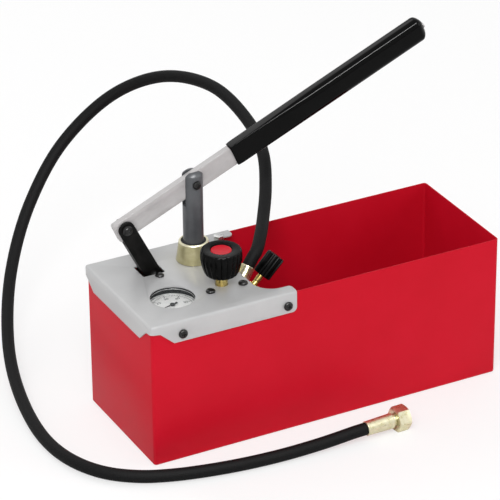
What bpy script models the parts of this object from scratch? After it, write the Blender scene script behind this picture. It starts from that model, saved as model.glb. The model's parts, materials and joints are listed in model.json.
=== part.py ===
"""Hand-operated hydrostatic test pump with its tank, lever, valves, gauge and test hose.

Metres, +Z up. The origin is the centre of the tank's underside: +X runs to the open end of
the trough and +Y to the rear wall, with the hose lying along the front. Places called ALONG,
ACROSS and HEIGHT are measured from the tank's left end, its front wall and the floor.
"""

import math

import bmesh
import bpy
from mathutils import Matrix, Vector

# Fits and finish of the modelling
GAP = 0.0003
OVERRUN = 0.004
WELD = 0.00001
ROUND_SIDES = 24
SMALL_SIDES = 12
DRILL_SIDES = 8
ARC_STEPS = 6
FOLD_STEPS = 2
SHARP_ANGLE = math.radians(32)
ROUND_PROFILE_SHARE = 0.5
FACING_SHARE = 0.5
POINT_WEIGHT_SHARE = 1

# Tank: an open trough of sheet steel
TANK_LENGTH = 0.4545
TANK_WIDTH = 0.170
TANK_HEIGHT = 0.1796
TANK_WALL = 0.0015
TANK_CORNER_RADIUS = 0.004

# Cover plate over the pump end, with a flange folded down on three sides
PLATE_SHEET = 0.0015
PLATE_REACH = 0.184
PLATE_FOLD_RADIUS = 0.0022
FLANGE_DROP = 0.0264
FLANGE_CORNER_RADIUS = 0.006
TRIM_CORNER_DROP = 0.0089
TRIM_SIDE_BEND = 0.0125
TRIM_SIDE_BEND_DROP = 0.0114
TRIM_SIDE_RUN = 0.0294
TRIM_FAR_BEND = 0.003
TRIM_FAR_BEND_DROP = 0.0124
TRIM_FAR_RUN = 0.022
CUT_ALONG = 0.147
FRONT_ARM_WIDTH = 0.0138
REAR_ARM_WIDTH = 0.014
FRONT_CUT_RADIUS = 0.025
REAR_CUT_RADIUS = 0.018
ARM_TIP_RADIUS = 0.005

# Pan-head screws of the cover and the block, and the bracket's round-head screws
SCREW_HEAD_RADIUS = 0.0055
SCREW_HEAD_HEIGHT = 0.0034
SCREW_SHANK_RADIUS = 0.0024
COVER_SCREW_LENGTH = 0.010
COVER_SCREW_BELOW_RIM = 0.0151
COVER_SCREW_LEFT_ALONG = 0.0385
COVER_SCREW_BEFORE_TIP = 0.0115
BLOCK_SCREW_LENGTH = 0.016
BLOCK_SCREW_LEFT_ALONG = 0.0963
BLOCK_SCREW_RIGHT_ALONG = 0.138
BLOCK_SCREW_ACROSS = 0.0428
SCREW_BRIM_SHARE = 0.33
SCREW_CROWN_SHARE = 0.85
RECESS_LENGTH = 0.0056
RECESS_WIDTH = 0.0011
RECESS_DEPTH = 0.0016
BRACKET_SCREW_HEAD_RADIUS = 0.0052
BRACKET_SCREW_HEAD_HEIGHT = 0.0034
BRACKET_SCREW_LENGTH = 0.0052
BRACKET_SCREW_ALONG = 0.0625
BRACKET_SCREW_OFFSET = 0.0195

# Pump axis, barrel, gland and seals
PUMP_ALONG = 0.1163
PUMP_ACROSS = 0.125
BARREL_RADIUS = 0.022
BARREL_BORE_RADIUS = 0.0163
BARREL_BOTTOM = 0.060
GLAND_SHANK_RADIUS = 0.015
GLAND_SKIRT_RADIUS = 0.021
GLAND_RIM_RADIUS = 0.0175
GLAND_RIM_CHAMFER = 0.0012
GLAND_HEIGHT = 0.0243
WIPER_RADIUS = 0.0145
WIPER_THICKNESS = 0.0028
GLAND_SEAL_THICKNESS = 0.0047

# Block under the cover plate
BLOCK_START_ALONG = 0.091
BLOCK_END_ALONG = 0.150
BLOCK_START_ACROSS = 0.033
BLOCK_END_ACROSS = 0.160
BLOCK_HEIGHT = 0.0376
BARREL_SOCKET_DEPTH = 0.003
BLOCK_LIP_THICKNESS = 0.003
CHAMFER_END_ACROSS = 0.100
GALLERY_RADIUS = 0.002
BRANCH_RADIUS = 0.0016
GALLERY_ALONG = 0.138
GALLERY_BELOW_RIM = 0.0216

# Plunger
ROD_RADIUS = 0.012
ROD_SHOULDER_BELOW_RIM = 0.0456
ROD_TOP_ABOVE_RIM = 0.1154
ROD_TOP_CHAMFER = 0.003
FORK_SLOT_ABOVE_RIM = 0.0734
STUD_RADIUS = 0.005
STUD_LENGTH = 0.026
PISTON_CLEARANCE = 0.0006
PISTON_HEIGHT = 0.0157
PISTON_GROOVE_START = 0.004
PISTON_GROOVE_WIDTH = 0.005
PISTON_GROOVE_DEPTH = 0.0025
PISTON_NUT_FLATS = 0.017
PISTON_NUT_HEIGHT = 0.0077

# Lever, its grip and its pins
PIN_ABOVE_RIM = 0.1014
LEVER_ANGLE = math.radians(23.5)
LEVER_SPAN = 0.0955
LEVER_HEIGHT = 0.025
LEVER_THICKNESS = 0.008
LEVER_END_BEYOND_BOLT = 0.0125
LEVER_CORNER_RADIUS = 0.003
GRIP_START = 0.0561
GRIP_END = 0.3305
GRIP_MOUTH_HEIGHT = 0.028
GRIP_MOUTH_THICKNESS = 0.013
GRIP_MOUTH_EDGE_RADIUS = 0.0012
GRIP_HEIGHT = 0.031
GRIP_THICKNESS = 0.021
GRIP_EDGE_RADIUS = 0.009
GRIP_SWELL_LENGTH = 0.140
GRIP_END_RADIUS = 0.009
GRIP_SWELL_SHARES = (0, 0.35, 0.7, 1)
GRIP_END_STEPS = 3
TANG_HEIGHT = 0.020
TANG_END = 0.308
CLEVIS_PIN_RADIUS = 0.0035
CLEVIS_HEAD_RADIUS = 0.0045
CLEVIS_HEAD_HEIGHT = 0.003
CLEVIS_NUT_FLATS = 0.010
CLEVIS_NUT_HEIGHT = 0.004

# Link, its bolt, its foot pin and the bracket that holds it
LINK_FOOT_ALONG = 0.065
LINK_FOOT_BELOW_RIM = 0.0096
LINK_SHEET = 0.0025
LINK_WIDTH = 0.020
LINK_SIDE_CLEARANCE = 0.0005
LINK_WEB_START_BELOW_BOLT = 0.0195
LINK_BOLT_RADIUS = 0.004
LINK_BOLT_HEAD_RADIUS = 0.0062
LINK_BOLT_HEAD_HEIGHT = 0.0035
LINK_NUT_FLATS = 0.013
LINK_NUT_HEIGHT = 0.005
OPEN_PIVOT_CLEARANCE = 0.0021
SLOT_START_ALONG = 0.0448
SLOT_END_ALONG = 0.0728
SLOT_WIDTH = 0.0274
SLOT_CORNER_RADIUS = 0.002
BRACKET_WIDTH = 0.030
BRACKET_SHEET = 0.002
BRACKET_FLANGE_REACH = 0.026
BRACKET_DEPTH = 0.0246
FOOT_PIN_RADIUS = 0.004
FOOT_PIN_HEAD_RADIUS = 0.006
FOOT_PIN_HEAD_THICKNESS = 0.002
SPACER_RADIUS = 0.007

# Pressure gauge
GAUGE_ALONG = 0.0526
GAUGE_ACROSS = 0.0525
GAUGE_HOLE_RADIUS = 0.026
GAUGE_CASE_RADIUS = 0.031
GAUGE_CASE_BELOW_RIM = 0.0396
GAUGE_CASE_WALL = 0.0015
GAUGE_CASE_FLOOR = 0.002
GAUGE_LEDGE_WIDTH = 0.0025
BEZEL_WALL = 0.0012
BEZEL_LIP_RADIUS = 0.028
BEZEL_LIP_THICKNESS = 0.0012
BEZEL_HEIGHT = 0.013
BEZEL_BELOW_PLATE = 0.0007
LENS_THICKNESS = 0.0015
DIAL_BELOW_LENS = 0.0056
DIAL_THICKNESS = 0.0008
ARBOR_RADIUS = 0.0014
ARBOR_BELOW_DIAL = 0.003
NEEDLE_ABOVE_DIAL = 0.0012
NEEDLE_THICKNESS = 0.0008
NEEDLE_HUB_RADIUS = 0.003
NEEDLE_REACH = 0.0225
NEEDLE_TAIL = 0.007
NEEDLE_WIDTH = 0.0016
NEEDLE_HEADING = math.radians(195)
STEM_RADIUS = 0.005
STEM_BELOW_RIM = 0.0216
STEM_FLATS = 0.014
STEM_THREAD_LENGTH = 0.0097

# Shut-off valve
SHUTOFF_ALONG = 0.1163
SHUTOFF_ACROSS = 0.0543
BONNET_RADIUS = 0.0072
BONNET_THREAD_LENGTH = 0.0145
BONNET_COLLAR_HEIGHT = 0.0026
BONNET_NECK_RADIUS = 0.0055
BONNET_NECK_HEIGHT = 0.007
SHUTOFF_SPINDLE_RADIUS = 0.0035
SHUTOFF_SEAT_RADIUS = 0.0042
SHUTOFF_SEAT_DEPTH = 0.0125
SHUTOFF_TIP_BELOW_RIM = 0.0226
KNOB_ABOVE_BONNET = 0.0041
KNOB_HEIGHT = 0.0312
KNOB_FOOT_RADIUS = 0.0195
KNOB_SHOULDER_RADIUS = 0.0245
KNOB_TOP_RADIUS = 0.0221
KNOB_UPPER_SHARE = 0.67
KNOB_FOOT_CHAMFER = 0.0015
KNOB_SHOULDER_SHARE = 0.76
KNOB_BORE_DEPTH = 0.018
KNOB_RIBS = 20
KNOB_FLUTE_DEPTH = 0.0013
KNOB_SIDES_PER_RIB = 2
CAP_RADIUS = 0.0122
CAP_THICKNESS = 0.0016
CAP_BELOW_RIM = 0.0008

# Release valve, tilted over the block's chamfer
RELEASE_ALONG = 0.147
RELEASE_ACROSS = 0.050
RELEASE_BELOW_RIM = 0.0166
RELEASE_TILT = math.radians(43.6)
RELEASE_BONNET_FLATS = 0.014
RELEASE_BONNET_HEX_HEIGHT = 0.008
RELEASE_BONNET_NECK_RADIUS = 0.0058
RELEASE_BONNET_NECK_HEIGHT = 0.005
RELEASE_THREAD_RADIUS = 0.005
RELEASE_THREAD_LENGTH = 0.009
RELEASE_BORE_DEPTH = 0.014
RELEASE_SPINDLE_RADIUS = 0.00375
RELEASE_SPINDLE_TIP_RADIUS = 0.002
RELEASE_SPINDLE_TIP_BACK = 0.0105
RELEASE_KNOB_START = 0.0267
RELEASE_KNOB_LENGTH = 0.0287
RELEASE_KNOB_RADIUS = 0.0112
RELEASE_KNOB_CHAMFER = 0.0008
RELEASE_KNOB_BORE_DEPTH = 0.012
RELEASE_KNOB_RIBS = 10
RELEASE_KNOB_FLUTE_DEPTH = 0.0021
RELEASE_KNOB_SIDES_PER_RIB = 4

# Delivery valve, its pipe and the foot valve
DELIVERY_ALONG = 0.161
DELIVERY_ACROSS = 0.1489
DELIVERY_BOSS_RADIUS = 0.0105
DELIVERY_ARM_WIDTH = 0.018
DELIVERY_TOP_DROP = 0.0011
DELIVERY_BORE_RADIUS = 0.0055
DELIVERY_SEAT_BELOW_RIM = 0.0276
DELIVERY_SEAT_RADIUS = 0.0025
DELIVERY_BALL_RADIUS = 0.004
PLUG_THREAD_LENGTH = 0.0105
PLUG_FLATS = 0.011
PLUG_HEX_HEIGHT = 0.0087
SPRING_RADIUS = 0.0036
SPRING_WIRE_RADIUS = 0.0005
SPRING_TURNS = 4
SPRING_POINTS_PER_TURN = 10
PIPE_RADIUS = 0.004
PIPE_WALL = 0.001
PIPE_BEND_RADIUS = 0.012
PIPE_BEND_STEPS = 5
PIPE_NUT_FLATS = 0.015
PIPE_NUT_LENGTH = 0.009
FOOT_BODY_HEIGHT = 0.0237
FOOT_SPIGOT_HEIGHT = 0.006
FOOT_SPIGOT_BORE_RADIUS = 0.012
FOOT_LIP_THICKNESS = 0.0037
FOOT_LIP_RADIUS = 0.0045
FOOT_CHAMBER_RADIUS = 0.0073
FOOT_THREAD_RADIUS = 0.009
FOOT_THREAD_DEPTH = 0.006
FOOT_PORT_BELOW_TOP = 0.0078
FOOT_PORT_RADIUS = 0.003
FOOT_BOSS_RADIUS = 0.0076
FOOT_BOSS_REACH = 0.025
SUCTION_BALL_RADIUS = 0.0055
SUCTION_SEAT_RADIUS = 0.004
STRAINER_RADIUS = 0.012
STRAINER_BOTTOM = 0.008
STRAINER_WALL = 0.0012
STRAINER_ROOF = 0.002
STRAINER_SLOT_WIDTH = 0.0025
STRAINER_SLOT_HEIGHT = 0.016
STRAINER_SLOT_PAIRS = 3

# Test hose and its fittings
HOSE_RADIUS = 0.0075
HOSE_PORT_ALONG = 0.1638
HOSE_PORT_ACROSS = 0.080
HOSE_PORT_ABOVE_RIM = 0.0002
HOSE_PORT_LEAN = Vector((0.65, 0.25, 0.72))
HOSE_STEPS = 64
HOSE_LEAD = 0.012
HOSE_RESOLUTION = 2
HOSE_TUBE_STEP = 2.5
FERRULE_RADIUS = 0.0088
FERRULE_LENGTH = 0.0205
FERRULE_LIP_RADIUS = 0.0006
FERRULE_WALL = 0.0012
NIPPLE_FLATS = 0.019
NIPPLE_HEX_HEIGHT = 0.0079
NIPPLE_THREAD_RADIUS = 0.006
NIPPLE_THREAD_LENGTH = 0.0092
NIPPLE_STEM_RADIUS = 0.0035
NIPPLE_BORE_RADIUS = 0.002
SPOT_FACE_MARGIN = 0.001
END_ALONG = 0.2415
END_BEFORE_FRONT = 0.0616
END_HEADING = math.radians(2.3)
END_FERRULE_LENGTH = 0.0355
END_FERRULE_SMALL_RADIUS = 0.0087
END_FERRULE_RADIUS = 0.0094
END_NECK_RADIUS = 0.0076
END_NECK_LENGTH = 0.0028
SWIVEL_NUT_FLATS = 0.027
SWIVEL_NUT_LENGTH = 0.0165
SWIVEL_NUT_WALL = 0.004
SWIVEL_NUT_BORE_RADIUS = 0.0100
TAIL_NECK_RADIUS = 0.0072
TAIL_COLLAR_RADIUS = 0.0094
TAIL_COLLAR_LENGTH = 0.004
TAIL_BORE_RADIUS = 0.003
WASHER_THICKNESS = 0.002
WASHER_BORE_RADIUS = 0.0055

# The hose's route after the port: over the rear wall, round the left end and along the front
HOSE_ROUTE = [
    (-0.0500, 0.0002, 0.1932),
    (-0.0340, 0.0200, 0.2005),
    (-0.0130, 0.0520, 0.2080),
    (0.0090, 0.0880, 0.2230),
    (0.0310, 0.1360, 0.2430),
    (0.0400, 0.1900, 0.2600),
    (0.0320, 0.2720, 0.2760),
    (-0.0010, 0.3420, 0.2680),
    (-0.0500, 0.3840, 0.2370),
    (-0.1160, 0.3950, 0.1810),
    (-0.1760, 0.3670, 0.1230),
    (-0.2300, 0.3070, 0.0710),
    (-0.2780, 0.2120, 0.0320),
    (-0.3050, 0.1210, 0.0145),
    (-0.3180, 0.0220, 0.0080),
    (-0.3110, -0.0380, 0.0080),
    (-0.2900, -0.0800, 0.0080),
    (-0.2590, -0.1070, 0.0080),
    (-0.2230, -0.1230, 0.0080),
    (-0.1640, -0.1370, 0.0080),
    (-0.1020, -0.1440, 0.0082),
    (-0.0440, -0.1465, 0.0102),
]

# Places worked out from the sizes above
PLATE_BOTTOM = TANK_HEIGHT + GAP
PLATE_TOP = PLATE_BOTTOM + PLATE_SHEET
COVER_SCREW_RIGHT_ALONG = PLATE_REACH - COVER_SCREW_BEFORE_TIP
COVER_SCREW_HEIGHT = TANK_HEIGHT - COVER_SCREW_BELOW_RIM
GALLERY_HEIGHT = TANK_HEIGHT - GALLERY_BELOW_RIM
ROD_SHOULDER_HEIGHT = TANK_HEIGHT - ROD_SHOULDER_BELOW_RIM
ROD_TOP_HEIGHT = TANK_HEIGHT + ROD_TOP_ABOVE_RIM
FORK_SLOT_BOTTOM_HEIGHT = TANK_HEIGHT + FORK_SLOT_ABOVE_RIM
PIN_HEIGHT = TANK_HEIGHT + PIN_ABOVE_RIM
LINK_FOOT_HEIGHT = TANK_HEIGHT - LINK_FOOT_BELOW_RIM
GAUGE_CASE_BOTTOM = TANK_HEIGHT - GAUGE_CASE_BELOW_RIM
STEM_HEIGHT = TANK_HEIGHT - STEM_BELOW_RIM
SHUTOFF_TIP_HEIGHT = TANK_HEIGHT - SHUTOFF_TIP_BELOW_RIM
RELEASE_HEIGHT = TANK_HEIGHT - RELEASE_BELOW_RIM
DELIVERY_SEAT_HEIGHT = TANK_HEIGHT - DELIVERY_SEAT_BELOW_RIM
HOSE_PORT_HEIGHT = TANK_HEIGHT + HOSE_PORT_ABOVE_RIM
BLOCK_TOP = PLATE_BOTTOM - GAP
BLOCK_BOTTOM = BLOCK_TOP - BLOCK_HEIGHT
SOCKET_TOP = BLOCK_BOTTOM + BARREL_SOCKET_DEPTH
BARREL_TOP = SOCKET_TOP - GAP
LIP_TOP = SOCKET_TOP + BLOCK_LIP_THICKNESS
SEAL_BOTTOM = LIP_TOP + GAP
GLAND_BOTTOM = SEAL_BOTTOM + GLAND_SEAL_THICKNESS + GAP
GLAND_SKIRT_BOTTOM = PLATE_TOP + GAP
GLAND_TOP = GLAND_SKIRT_BOTTOM + GLAND_HEIGHT
ROD_BORE_RADIUS = ROD_RADIUS + GAP
GLAND_BORE_RADIUS = GLAND_SHANK_RADIUS + GAP
PISTON_RADIUS = BARREL_BORE_RADIUS - PISTON_CLEARANCE
PISTON_TOP = ROD_SHOULDER_HEIGHT - GAP
PISTON_BOTTOM = PISTON_TOP - PISTON_HEIGHT
FORK_SLOT_WIDTH = LEVER_THICKNESS + 2 * GAP
LINK_INNER_WIDTH = LEVER_THICKNESS + 2 * LINK_SIDE_CLEARANCE
LINK_OUTER_WIDTH = LINK_INNER_WIDTH + 2 * LINK_SHEET
BEZEL_TOP = PLATE_BOTTOM - BEZEL_BELOW_PLATE
LENS_TOP = BEZEL_TOP - BEZEL_LIP_THICKNESS - GAP
CASE_TOP = LENS_TOP - LENS_THICKNESS - GAP
DIAL_TOP = LENS_TOP - LENS_THICKNESS - DIAL_BELOW_LENS
BONNET_TOP = PLATE_TOP + BONNET_COLLAR_HEIGHT + BONNET_NECK_HEIGHT
KNOB_BOTTOM = BONNET_TOP + KNOB_ABOVE_BONNET
FOOT_TOP = BARREL_BOTTOM - GAP
FOOT_BOTTOM = FOOT_TOP - FOOT_BODY_HEIGHT
SUCTION_SEAT_HEIGHT = FOOT_BOTTOM + FOOT_THREAD_DEPTH - GAP
FOOT_PORT_HEIGHT = FOOT_TOP - FOOT_PORT_BELOW_TOP
DELIVERY_TOP = BLOCK_TOP - DELIVERY_TOP_DROP


def from_corner(along, across, height):
    """A place measured from the tank's left end, front wall and underside."""
    return Vector((along - TANK_LENGTH / 2, across - TANK_WIDTH / 2, height))


def aim(origin, axis):
    """A frame at a place, its local Z along an axis and its local Y as near to up as that allows."""
    along = axis.normalized()
    hint = Vector((0, 1, 0)) if abs(along.z) > 1 - WELD else Vector((0, 0, 1))
    side = hint.cross(along).normalized()
    return basis(origin, side, along.cross(side), along)


def basis(origin, x_axis, y_axis, z_axis):
    """A frame from its origin and its three axes."""
    turn = Matrix((x_axis, y_axis, z_axis)).transposed().to_4x4()
    return Matrix.Translation(origin) @ turn


def colour_value(share):
    """One sRGB channel, from 0 to 1, as linear light."""
    return share / 12.92 if share <= 0.04045 else ((share + 0.055) / 1.055) ** 2.4


# Each finish: its sRGB colour, roughness and metallic value
FINISHES = {
    "tank_red": ("C0152A", 0.45, 0.0),
    "plate_grey": ("B8B8B8", 0.5, 0.2),
    "lever_grey": ("B4B2B4", 0.45, 0.2),
    "rod_steel": ("505056", 0.35, 0.6),
    "gland_zinc": ("B5AE84", 0.4, 0.7),
    "golden_zinc": ("C9B46A", 0.3, 0.9),
    "bright_steel": ("C8C8C6", 0.25, 1.0),
    "black_steel": ("141416", 0.4, 0.3),
    "black_plastic": ("0E0E10", 0.35, 0.0),
    "grip_rubber": ("0A0A0B", 0.25, 0.0),
    "hose_rubber": ("1E1E20", 0.75, 0.0),
    "seal_rubber": ("18181A", 0.8, 0.0),
    "cap_red": ("D0152A", 0.4, 0.0),
    "block_alloy": ("9A9C9E", 0.45, 0.8),
    "dial_white": ("F2F2F0", 0.5, 0.0),
    "clear_lens": ("E8F0F2", 0.05, 0.0),
    "brass": ("B5953C", 0.3, 0.9),
    "strainer_white": ("D8D8D2", 0.5, 0.0),
}


def material(finish):
    """The Principled material of a finish, made once."""
    known = bpy.data.materials.get(finish)
    if known:
        return known
    code, roughness, metallic = FINISHES[finish]
    channels = [int(code[i:i + 2], 16) / 255 for i in (0, 2, 4)]
    made = bpy.data.materials.new(finish)
    made.use_nodes = True
    shader = made.node_tree.nodes["Principled BSDF"]
    shader.inputs["Base Color"].default_value = [*map(colour_value, channels), 1]
    shader.inputs["Roughness"].default_value = roughness
    shader.inputs["Metallic"].default_value = metallic
    return made


def collection(name):
    """A collection of the scene, made once."""
    known = bpy.data.collections.get(name)
    if known:
        return known
    made = bpy.data.collections.new(name)
    bpy.context.scene.collection.children.link(made)
    return made


def placed(name, mesh, frame, finish=None):
    """An object with this mesh at a frame: a piece with a finish, or a hidden cutter without."""
    mesh.shade_smooth()
    mesh.set_sharp_from_angle(angle=SHARP_ANGLE)
    piece = bpy.data.objects.new(name, mesh)
    piece.matrix_world = frame
    if finish:
        mesh.materials.append(material(finish))
        collection("hydrostatic_test_pump").objects.link(piece)
    else:
        collection("cutters").objects.link(piece)
        piece.hide_render = True
        piece.display_type = "WIRE"
    return piece


def mesh_from(name, shape):
    """A mesh from a bmesh whose faces point outwards."""
    mesh = bpy.data.meshes.new(name)
    shape.to_mesh(mesh)
    shape.free()
    return mesh


def evaluated_mesh(thing):
    """The mesh that an object shows, with near points welded."""
    bpy.context.view_layer.update()
    seen = thing.evaluated_get(bpy.context.evaluated_depsgraph_get())
    shape = bmesh.new()
    shape.from_mesh(bpy.data.meshes.new_from_object(seen))
    bmesh.ops.remove_doubles(shape, verts=shape.verts, dist=WELD)
    bmesh.ops.recalc_face_normals(shape, faces=shape.faces)
    return mesh_from(thing.name, shape)


def turned(name, profile, frame, finish=None, sides=ROUND_SIDES):
    """A profile of (radius, height) turned round local Z, its outer side listed from top to bottom.

    A profile that starts away from the axis is a ring, and is closed.
    """
    count = len(profile)
    edges = [(i, i + 1) for i in range(count - 1)]
    if profile[0][0] > 0:
        edges.append((count - 1, 0))
    outline = bpy.data.meshes.new(name + "_profile")
    outline.from_pydata([(radius, 0, height) for radius, height in profile], edges, [])
    lathe = bpy.data.objects.new(name + "_lathe", outline)
    bpy.context.scene.collection.objects.link(lathe)
    screw = lathe.modifiers.new("Turn", "SCREW")
    screw.steps = screw.render_steps = sides
    screw.use_merge_vertices = True
    screw.merge_threshold = WELD
    mesh = evaluated_mesh(lathe)
    bpy.data.objects.remove(lathe)
    return placed(name, mesh, frame, finish)


def disc(radius, low, high):
    """The profile of a plain cylinder."""
    return [(0, high), (radius, high), (radius, low), (0, low)]


def ring(inner, outer, low, high):
    """The profile of a plain ring."""
    return [(outer, high), (outer, low), (inner, low), (inner, high)]


def prism(name, outlines, low, high, frame, finish=None):
    """A flat outline, with any holes after it, between two heights on local Z."""
    curve = bpy.data.curves.new(name, "CURVE")
    curve.dimensions = "2D"
    curve.fill_mode = "BOTH"
    curve.extrude = (high - low) / 2
    for outline in outlines:
        spline = curve.splines.new("POLY")
        spline.points.add(len(outline) - 1)
        for point, (x, y) in zip(spline.points, outline):
            point.co = (x, y, 0, POINT_WEIGHT_SHARE)
        spline.use_cyclic_u = True
    drawn = bpy.data.objects.new(name + "_outline", curve)
    bpy.context.scene.collection.objects.link(drawn)
    mesh = evaluated_mesh(drawn)
    bpy.data.objects.remove(drawn)
    mesh.transform(Matrix.Translation((0, 0, (low + high) / 2)))
    return placed(name, mesh, frame, finish)


def rod_along(name, points, radius, resolution, finish):
    """The mesh object of a round wire or tube through world points."""
    curve = bpy.data.curves.new(name, "CURVE")
    curve.dimensions = "3D"
    curve.bevel_depth = radius
    curve.bevel_resolution = resolution
    curve.use_fill_caps = True
    spline = curve.splines.new("POLY")
    spline.points.add(len(points) - 1)
    for point, place in zip(spline.points, points):
        point.co = (*place, POINT_WEIGHT_SHARE)
    drawn = bpy.data.objects.new(name + "_path", curve)
    bpy.context.scene.collection.objects.link(drawn)
    mesh = evaluated_mesh(drawn)
    bpy.data.objects.remove(drawn)
    return placed(name, mesh, Matrix.Identity(4), finish)


def block_mesh(low, high):
    """A bmesh box between two corners."""
    shape = bmesh.new()
    bmesh.ops.create_cube(shape, size=1)
    bmesh.ops.scale(shape, vec=high - low, verts=shape.verts)
    bmesh.ops.translate(shape, vec=(low + high) / 2, verts=shape.verts)
    shape.normal_update()
    return shape


def box(name, low, high, frame=None, finish=None):
    """A box between two corners of a frame."""
    return placed(name, mesh_from(name, block_mesh(low, high)), frame or Matrix.Identity(4), finish)


def combine(piece, other, operation):
    """Change a piece by another object, which stays hidden among the cutters."""
    change = piece.modifiers.new(other.name, "BOOLEAN")
    change.operation = operation
    change.solver = "EXACT"
    change.object = other
    return piece


def cut(piece, *cutters):
    for cutter in cutters:
        combine(piece, cutter, "DIFFERENCE")
    return piece


def join(piece, *others):
    for other in others:
        combine(piece, other, "UNION")
    return piece


def arc(centre_x, centre_y, radius, start, end, steps=ARC_STEPS):
    """Points of an arc between two angles in degrees."""
    angles = [math.radians(start + (end - start) * i / steps) for i in range(steps + 1)]
    return [(centre_x + radius * math.cos(a), centre_y + radius * math.sin(a)) for a in angles]


def rounded_rectangle(left, right, bottom, top, radius):
    """The outline of a rectangle with round corners, anticlockwise."""
    outline = arc(right - radius, top - radius, radius, 0, 90)
    outline += arc(left + radius, top - radius, radius, 90, 180)
    outline += arc(left + radius, bottom + radius, radius, 180, 270)
    outline += arc(right - radius, bottom + radius, radius, 270, 360)
    return outline


def hexagon(flats):
    """The outline of a hexagon with two flats facing local Y, from the width across its flats."""
    corner = flats / math.sqrt(3)
    return arc(0, 0, corner, 0, 300, 5)


def drill(name, origin, axis, radius, depth, sides=SMALL_SIDES):
    """A cutter down into a piece: from a face whose outward normal is axis, past it by the overrun."""
    return turned(name, disc(radius, -depth, OVERRUN), aim(origin, axis), sides=sides)


UP = Vector((0, 0, 1))
ALONG_X = Vector((1, 0, 0))
ALONG_Y = Vector((0, 1, 0))
TOWARDS_FRONT = Vector((0, -1, 0))


def wall_drills(name):
    """Cutters for the cover screws, each through the front and the rear wall together."""
    drills = []
    for side, along in (("left", COVER_SCREW_LEFT_ALONG), ("right", COVER_SCREW_RIGHT_ALONG)):
        place = from_corner(along, 0, COVER_SCREW_HEIGHT)
        profile = disc(SCREW_SHANK_RADIUS + GAP, -OVERRUN, TANK_WIDTH + OVERRUN)
        drills.append(turned(f"{name}_{side}", profile, aim(place, ALONG_Y), sides=SMALL_SIDES))
    return drills


def make_tank():
    """An open sheet-steel trough with rounded upright corners."""
    half = Vector((TANK_LENGTH / 2, TANK_WIDTH / 2, 0))
    shape = block_mesh(-half, half + TANK_HEIGHT * UP)
    top = [face for face in shape.faces if face.normal.z > FACING_SHARE]
    bmesh.ops.delete(shape, geom=top, context="FACES_ONLY")
    uprights = [edge for edge in shape.edges if edge.verts[0].co.xy == edge.verts[1].co.xy]
    bmesh.ops.bevel(
        shape, geom=uprights, offset=TANK_CORNER_RADIUS, segments=FOLD_STEPS + 1,
        profile=ROUND_PROFILE_SHARE, affect="EDGES",
    )
    tank = placed("tank", mesh_from("tank", shape), Matrix.Identity(4), "tank_red")
    sheet = tank.modifiers.new("Sheet", "SOLIDIFY")
    sheet.thickness = TANK_WALL
    sheet.offset = -1
    sheet.use_even_offset = True
    return cut(tank, *wall_drills("tank_drill"))


def plate_cut_outline():
    """The hollow in the plate's right edge, in plan, between its two arms."""
    front_edge = FRONT_ARM_WIDTH
    rear_edge = TANK_WIDTH - REAR_ARM_WIDTH
    beyond = PLATE_REACH + OVERRUN
    outline = [(beyond, front_edge - ARM_TIP_RADIUS)]
    outline += arc(PLATE_REACH - ARM_TIP_RADIUS, front_edge - ARM_TIP_RADIUS, ARM_TIP_RADIUS, 0, 90)
    front_centre = (CUT_ALONG + FRONT_CUT_RADIUS, front_edge + FRONT_CUT_RADIUS)
    outline += arc(*front_centre, FRONT_CUT_RADIUS, -90, -180)
    rear_centre = (CUT_ALONG + REAR_CUT_RADIUS, rear_edge - REAR_CUT_RADIUS)
    outline += arc(*rear_centre, REAR_CUT_RADIUS, 180, 90)
    outline += arc(PLATE_REACH - ARM_TIP_RADIUS, rear_edge + ARM_TIP_RADIUS, ARM_TIP_RADIUS, -90, 0)
    outline.append((beyond, rear_edge + ARM_TIP_RADIUS))
    return outline


def trim_outline(bend, bend_drop, run):
    """What is cut from a flange at a corner: distance from the corner, and height below the top."""
    slope_run = run - bend
    slope_drop = FLANGE_DROP - bend_drop
    past = 1 + OVERRUN / slope_run
    end = bend + slope_run * past
    end_drop = bend_drop + slope_drop * past
    lowest = -max(end_drop, FLANGE_DROP + OVERRUN)
    return [
        (-OVERRUN, -TRIM_CORNER_DROP), (-OVERRUN, lowest), (end, lowest),
        (end, -end_drop), (bend, -bend_drop),
    ]


def make_cover_plate():
    """A folded sheet over the pump end, cut away at its right edge and pierced for what it carries."""
    fold_out = GAP + PLATE_SHEET
    low = from_corner(-fold_out, -fold_out, PLATE_TOP - FLANGE_DROP)
    high = from_corner(PLATE_REACH, TANK_WIDTH + fold_out, PLATE_TOP)
    shape = block_mesh(low, high)
    open_sides = [
        face for face in shape.faces
        if face.normal.z < -FACING_SHARE or face.normal.x > FACING_SHARE
    ]
    bmesh.ops.delete(shape, geom=open_sides, context="FACES_ONLY")
    folds = [edge for edge in shape.edges if len(edge.link_faces) == 2]
    bmesh.ops.bevel(
        shape, geom=folds, offset=PLATE_FOLD_RADIUS, segments=FOLD_STEPS,
        profile=ROUND_PROFILE_SHARE, affect="EDGES",
    )
    plate = placed("cover_plate", mesh_from("cover_plate", shape), Matrix.Identity(4), "plate_grey")
    sheet = plate.modifiers.new("Sheet", "SOLIDIFY")
    sheet.thickness = PLATE_SHEET
    sheet.offset = -1
    sheet.use_even_offset = True
    cut(plate, *plate_trims(fold_out), *plate_openings(), *wall_drills("plate_drill"))
    return plate


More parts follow.
